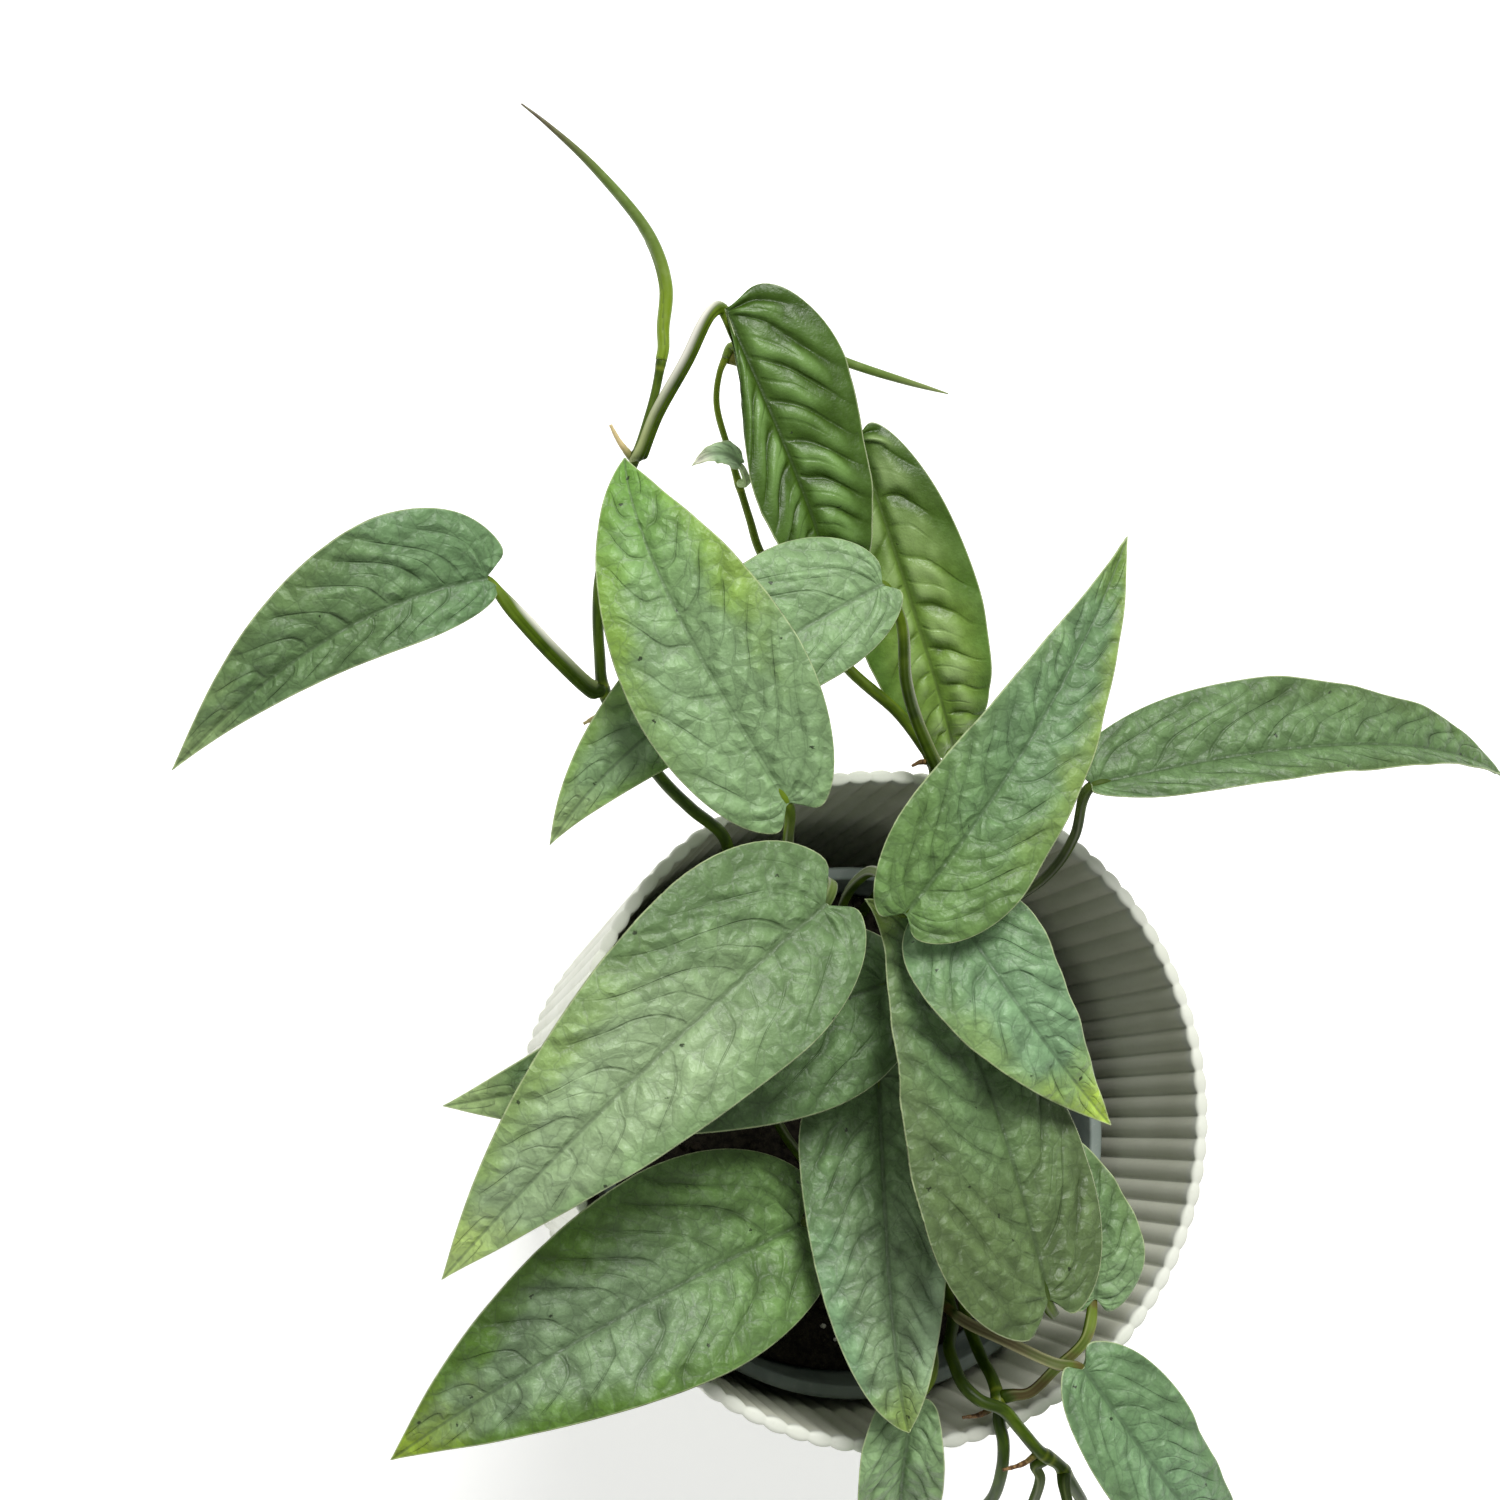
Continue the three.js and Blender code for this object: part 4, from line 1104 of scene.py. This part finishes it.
def vein_lines(n, leaf, vein, lateral, out, ahead, spacing):
    """How strongly the side veins and the midrib darken each point."""
    cycle = n.math("ABSOLUTE", n.minus(n.math("FRACT", n.plus(vein, 0.5)), 0.5))
    thin = 0.26 / spacing
    side_vein = n.times(n.ramp(cycle, thin * 0.3, thin * 2.4, 1.0, 0.0), n.ramp(out, 0.6, 0.95, 1.0, 0.1))
    halfway = n.minus(0.5, cycle)
    half_vein = n.times(n.ramp(halfway, thin * 0.2, thin * 1.8, 1.0, 0.0), n.ramp(out, 0.3, 0.7, 0.6, 0.0))
    worn = n.ramp(n.noise(6, 2), 0.3, 0.62, 0.35, 1.0)
    past_heel = n.ramp(ahead, 0.0, 0.08, 0.35, 1.0)
    side_veins = n.times(n.larger(side_vein, half_vein), n.ramp(lateral, 0.2, 1.0), worn, past_heel)
    width = n.ramp(ahead, 0.0, 1.0, 0.52, 0.22)
    midrib = n.ramp(n.math("DIVIDE", lateral, width), 0.3, 1.6, 1.0, 0.0)
    if leaf["twin"]:
        middle = n.ramp(lateral, 0.16, 0.36, n.ramp(ahead, 0.1, 0.6, 0.75, 0.0), 0.0)
        midrib = n.times(midrib, n.minus(1.0, middle))
    return side_veins, midrib


def broad_colour(n, leaf, across, out, ahead):
    """The colours of the centre, margins, heel and tip, which run into one another in patches."""
    centre, edge, heel, point = (TONES[tone] for tone in leaf["tones"])
    side_tint = TONES[leaf["side_tone"]]
    patches = n.minus(n.noise(12, 3), 0.5)
    spots = n.minus(n.noise(4, 3), 0.5)
    drift = n.plus(n.times(patches, 0.78), n.times(spots, 0.36))
    colour = n.blend(centre, edge, n.plus(out, drift), 0.5, 1.0)
    # each half runs to its side tone toward its margin: a margin tint on most leaves, painted light on
    # leaf_folded's shaded half
    for side, side_share in zip((-1, 1), leaf["side_tint"]):
        if side_share:
            on_side = n.times(across, side)
            colour = n.blend(colour, side_tint, n.plus(on_side, drift), 0.45, 1.0, 0.0, side_share)
    colour = n.blend(colour, heel, n.plus(ahead, n.times(drift, 0.3)), 0.02, 0.4, 0.95, 0.0)
    return n.blend(colour, point, n.plus(ahead, n.times(drift, 0.35)), leaf["tip_from"], 1.0, 0.0, 0.95)


PANEL = 4.4                # size of the panels between the fine veins


def leaf_material(name, leaf):
    """Waxy green with swellings that catch the light, dark sunk veins, and a fine net between them; painted
    light and shade on the swellings and a painted silver sheen.
    """
    n = Nodes(name + "_blade")
    across, ahead, vein, rim, under, height, lateral = n.attributes(
        "across", "ahead", "vein", "rim", "under", "height", "lateral")
    lateral = n.math("ABSOLUTE", lateral)
    out = n.math("ABSOLUTE", across)
    spacing = Midrib(leaf).length() / leaf["veins"]
    colour = broad_colour(n, leaf, across, out, ahead)

    # small panels between the fine veins, each a little different, with a painted highlight where they
    # swell; painted light on the swellings' tops and painted shade in their valleys
    ragged_place = n.wander(0.7, 2.5)
    edge_far = n.cells(PANEL, place=ragged_place)
    dome = n.ramp(edge_far, 0.0, 0.42)
    fine_far = n.cells(0.42 * PANEL, place=ragged_place)
    tone = n.cells(PANEL, "F1", "Color", ragged_place)
    streaks = n.noise(2.2, 3, rough=0.62)
    contrast = leaf["contrast"]
    strength = leaf["net"]
    painted_shade_and_tone = n.times(n.ramp(height, -0.8, 0.8, 1 - 0.18 * contrast, 1 + 0.15 * contrast),
                     n.ramp(tone, 0.15, 0.85, 1 - 0.07 * strength, 1 + 0.07 * strength),
                     n.ramp(dome, 0.0, 1.0, 1 - 0.06 * strength, 1 + 0.06 * strength),
                     n.ramp(streaks, 0.3, 0.72, 1 - 0.05 * contrast, 1 + 0.05 * contrast))
    colour = n.scale(colour, painted_shade_and_tone)
    # painted sheen: a pale silvery colour laid on the high, streaky parts of the swellings
    silver = n.times(n.ramp(streaks, 0.46, 0.72), n.ramp(height, -0.2, 0.6), leaf["silver"])
    colour = n.mix(silver, colour, (168, 190, 156))
    # painted highlight: the swellings' crests are painted toward a paler tone
    if leaf["painted_crest_highlight"]:
        colour = n.blend(colour, TONES[leaf["painted_crest_highlight"]], height, -0.1, 0.7, 0.0, 0.75)

    side_veins, midrib = vein_lines(n, leaf, vein, lateral, out, ahead, spacing)
    off_rib = n.ramp(lateral, 0.3, 1.5)
    net = n.times(n.ramp(edge_far, 0.0, 0.06, 1.0, 0.0), off_rib)
    fine_net = n.times(n.ramp(fine_far, 0.0, 0.12, 1.0, 0.0), off_rib)
    lines = n.larger(n.times(side_veins, 0.24 * leaf["lines"]), n.times(net, 0.3 * strength),
                     n.times(fine_net, 0.08 * strength), n.times(midrib, 0.48))
    main_tone = TONES[leaf["tones"][0]]
    colour = n.mix(lines, colour, [0.52 * value for value in main_tone])

    # dark specks, and the thin pale margin
    ragged = n.ramp(n.noise(0.5, 2), 0.3, 0.7, 0.5, 1.6)
    speck = n.math("DIVIDE", n.cells(5.2, "F1"), ragged)
    few = n.ramp(n.cells(5.2, "F1", "Color"), 0.60, 0.64)
    speck = n.times(n.ramp(speck, 0.06, 0.09, 1.0, 0.0), few)
    colour = n.mix(n.times(speck, 0.85), colour, (30, 38, 20))
    colour = n.blend(colour, (186, 198, 150), rim, 0.12, 0.36, 0.6, 0.0)

    # the underside is paler, with pale standing veins
    pale_tone = [0.85 * value + 18 for value in main_tone]
    back = n.mix(n.times(n.larger(side_veins, midrib), 0.6), pale_tone, (150, 166, 116))
    colour = n.mix(under, colour, back)

    relief = n.plus(n.times(dome, 1.1 * strength), n.times(streaks, 0.3), n.times(side_veins, -0.5),
                    n.times(n.ramp(fine_far, 0.0, 0.4), 0.14 * strength), n.times(n.noise(0.55, 2), 0.12))
    n.bump(relief, 0.42, 0.9)
    smoothest = leaf["gloss"]
    return n.finish(colour, n.ramp(n.noise(0.9, 3), 0.3, 0.7, smoothest, smoothest + 0.14), 0.3)


def make_leaf(name, leaf, seed):
    shape = Shape()
    blade = Blade(leaf, seed)
    blade.add_to(shape)
    add_petiole(shape, leaf, blade.rib)
    materials = [leaf_material(name, leaf), petiole_material(name, leaf)]
    shape.build(name + "_grown", materials, name)


for leaf_number, (leaf_name, leaf_facts) in enumerate(LEAVES.items()):
    make_leaf(leaf_name, {**LEAF_DEFAULTS, **leaf_facts}, leaf_number)


# ---- the rolled new leaves ----------------------------------------------------------------------

ROLLED_LEAVES = {
    "rolled_leaf_1": dict(
        stem="vine_1", radius=1.55, taper=2.4,
        points=[(-59, 156, 175.5), (-59, 164, 178), (-63, 173, 181), (-75, 184, 186),
                (-86, 191, 190), (-91, 194, 191)],
        start=(116, 142, 16), middle=(92, 116, 40), end=(88, 74, 58)),
    "rolled_leaf_2": dict(
        stem="vine_2", radius=1.15, taper=4.5,
        points=[(-42.5, 155.5, 170), (-37, 156.5, 172), (-29, 156, 173), (-18, 153, 172),
                (-6, 151, 170), (5, 150, 167)],
        start=(100, 124, 30), middle=(88, 114, 34), end=(124, 138, 80)),
}


def rolled_material(name, spear):
    n = Nodes(name + "_skin")
    ahead, seam = n.attributes("ahead", "seam")
    streak = n.noise(1.0, 3, n.combine(n.times(seam, 0.003), n.times(ahead, 0.02)))
    colour = n.blend(spear["start"], spear["middle"], ahead, 0.15, 0.45)
    colour = n.blend(colour, spear["end"], ahead, 0.6, 1.0)
    colour = n.blend(colour, (160, 176, 116), streak, 0.4, 0.75, 0.0, 0.2)
    # painted shade: a dark line just past the spiral's step, under the overhanging outer edge
    colour = n.blend(colour, (60, 78, 34), seam, 0.0, 0.08, 0.6, 0.0)
    n.bump(streak, 0.1, 0.5)
    return n.finish(colour, 0.42, 0.5)


SPEAR_SIDES = 28
SEAM_TURN = 5.0            # radians that the seam winds round the spear


def make_rolled_leaf(name, spear):
    """A spear wound round itself: its section is a spiral whose outer edge shows as a seam."""
    stem = stem_routes[spear["stem"]]
    heading = tangents(stem)[-1]
    route = smooth_curve([stem[-1] - heading * 0.4, stem[-1] + heading * 2, *spear["points"]], 0.6)
    share = np.linspace(0, 1, len(route))
    fat = spear["radius"] * (1 - 0.88 * share ** spear["taper"]) * (0.86 + 0.14 * smoothstep(0, 0.2, share))
    up = carried(route, (0.2, 0.3, 1))
    angle = angles_round(SPEAR_SIDES)
    seam = ((angle[None, :] + SEAM_TURN * share[:, None]) % (2 * math.pi)) / (2 * math.pi)
    shape = Shape()
    add_tube(shape, route, up, fat, SPEAR_SIDES, section=0.86 + 0.14 * seam, seam=seam, ahead=share)
    node_places[spear["stem"]].append(tuple(stem[-1] - heading * 1.0))
    shape.build(name + "_spear", [rolled_material(name, spear)], name)


for spear_name, spear_facts in ROLLED_LEAVES.items():
    make_rolled_leaf(spear_name, spear_facts)
for stem_name in stem_routes:
    make_stem(stem_name)


# ---- floor and light ----------------------------------------------------------------------------

FLOOR_REACH = 4.0          # metres from the middle to each side
FLOOR_GLOW = 0.45
SKY_STRENGTH = 0.38


def make_floor():
    mesh = bpy.data.meshes.new("floor")
    corners = [(x * FLOOR_REACH, y * FLOOR_REACH, 0) for x, y in ((-1, -1), (1, -1), (1, 1), (-1, 1))]
    mesh.from_pydata(corners, [], [(0, 1, 2, 3)])
    n = Nodes("pale_floor")
    mesh.materials.append(n.finish((246, 246, 244), 0.9, 0.1, Emission_Strength=FLOOR_GLOW))
    floor = add_object("floor", mesh)


def make_light(place, aim, size, watts):
    data = bpy.data.lights.new("key", "AREA")
    data.shape = "DISK"
    data.size = size
    data.energy = watts
    light = add_object("key", data)
    light.location = place
    light.rotation_euler = (Vector(aim) - Vector(place)).to_track_quat("-Z", "Y").to_euler()


def make_world():
    world = bpy.data.worlds.new("studio")
    world.use_nodes = True
    background = world.node_tree.nodes["Background"]
    background.inputs["Color"].default_value = (1, 1, 1, 1)
    background.inputs["Strength"].default_value = SKY_STRENGTH
    bpy.context.scene.world = world


make_floor()
make_world()
make_light((0.05, 1.3, 2.4), (0, 0, 0.12), 1.3, 72)
bpy.context.scene.view_settings.view_transform = "Standard"
bpy.context.scene.view_settings.look = "None"
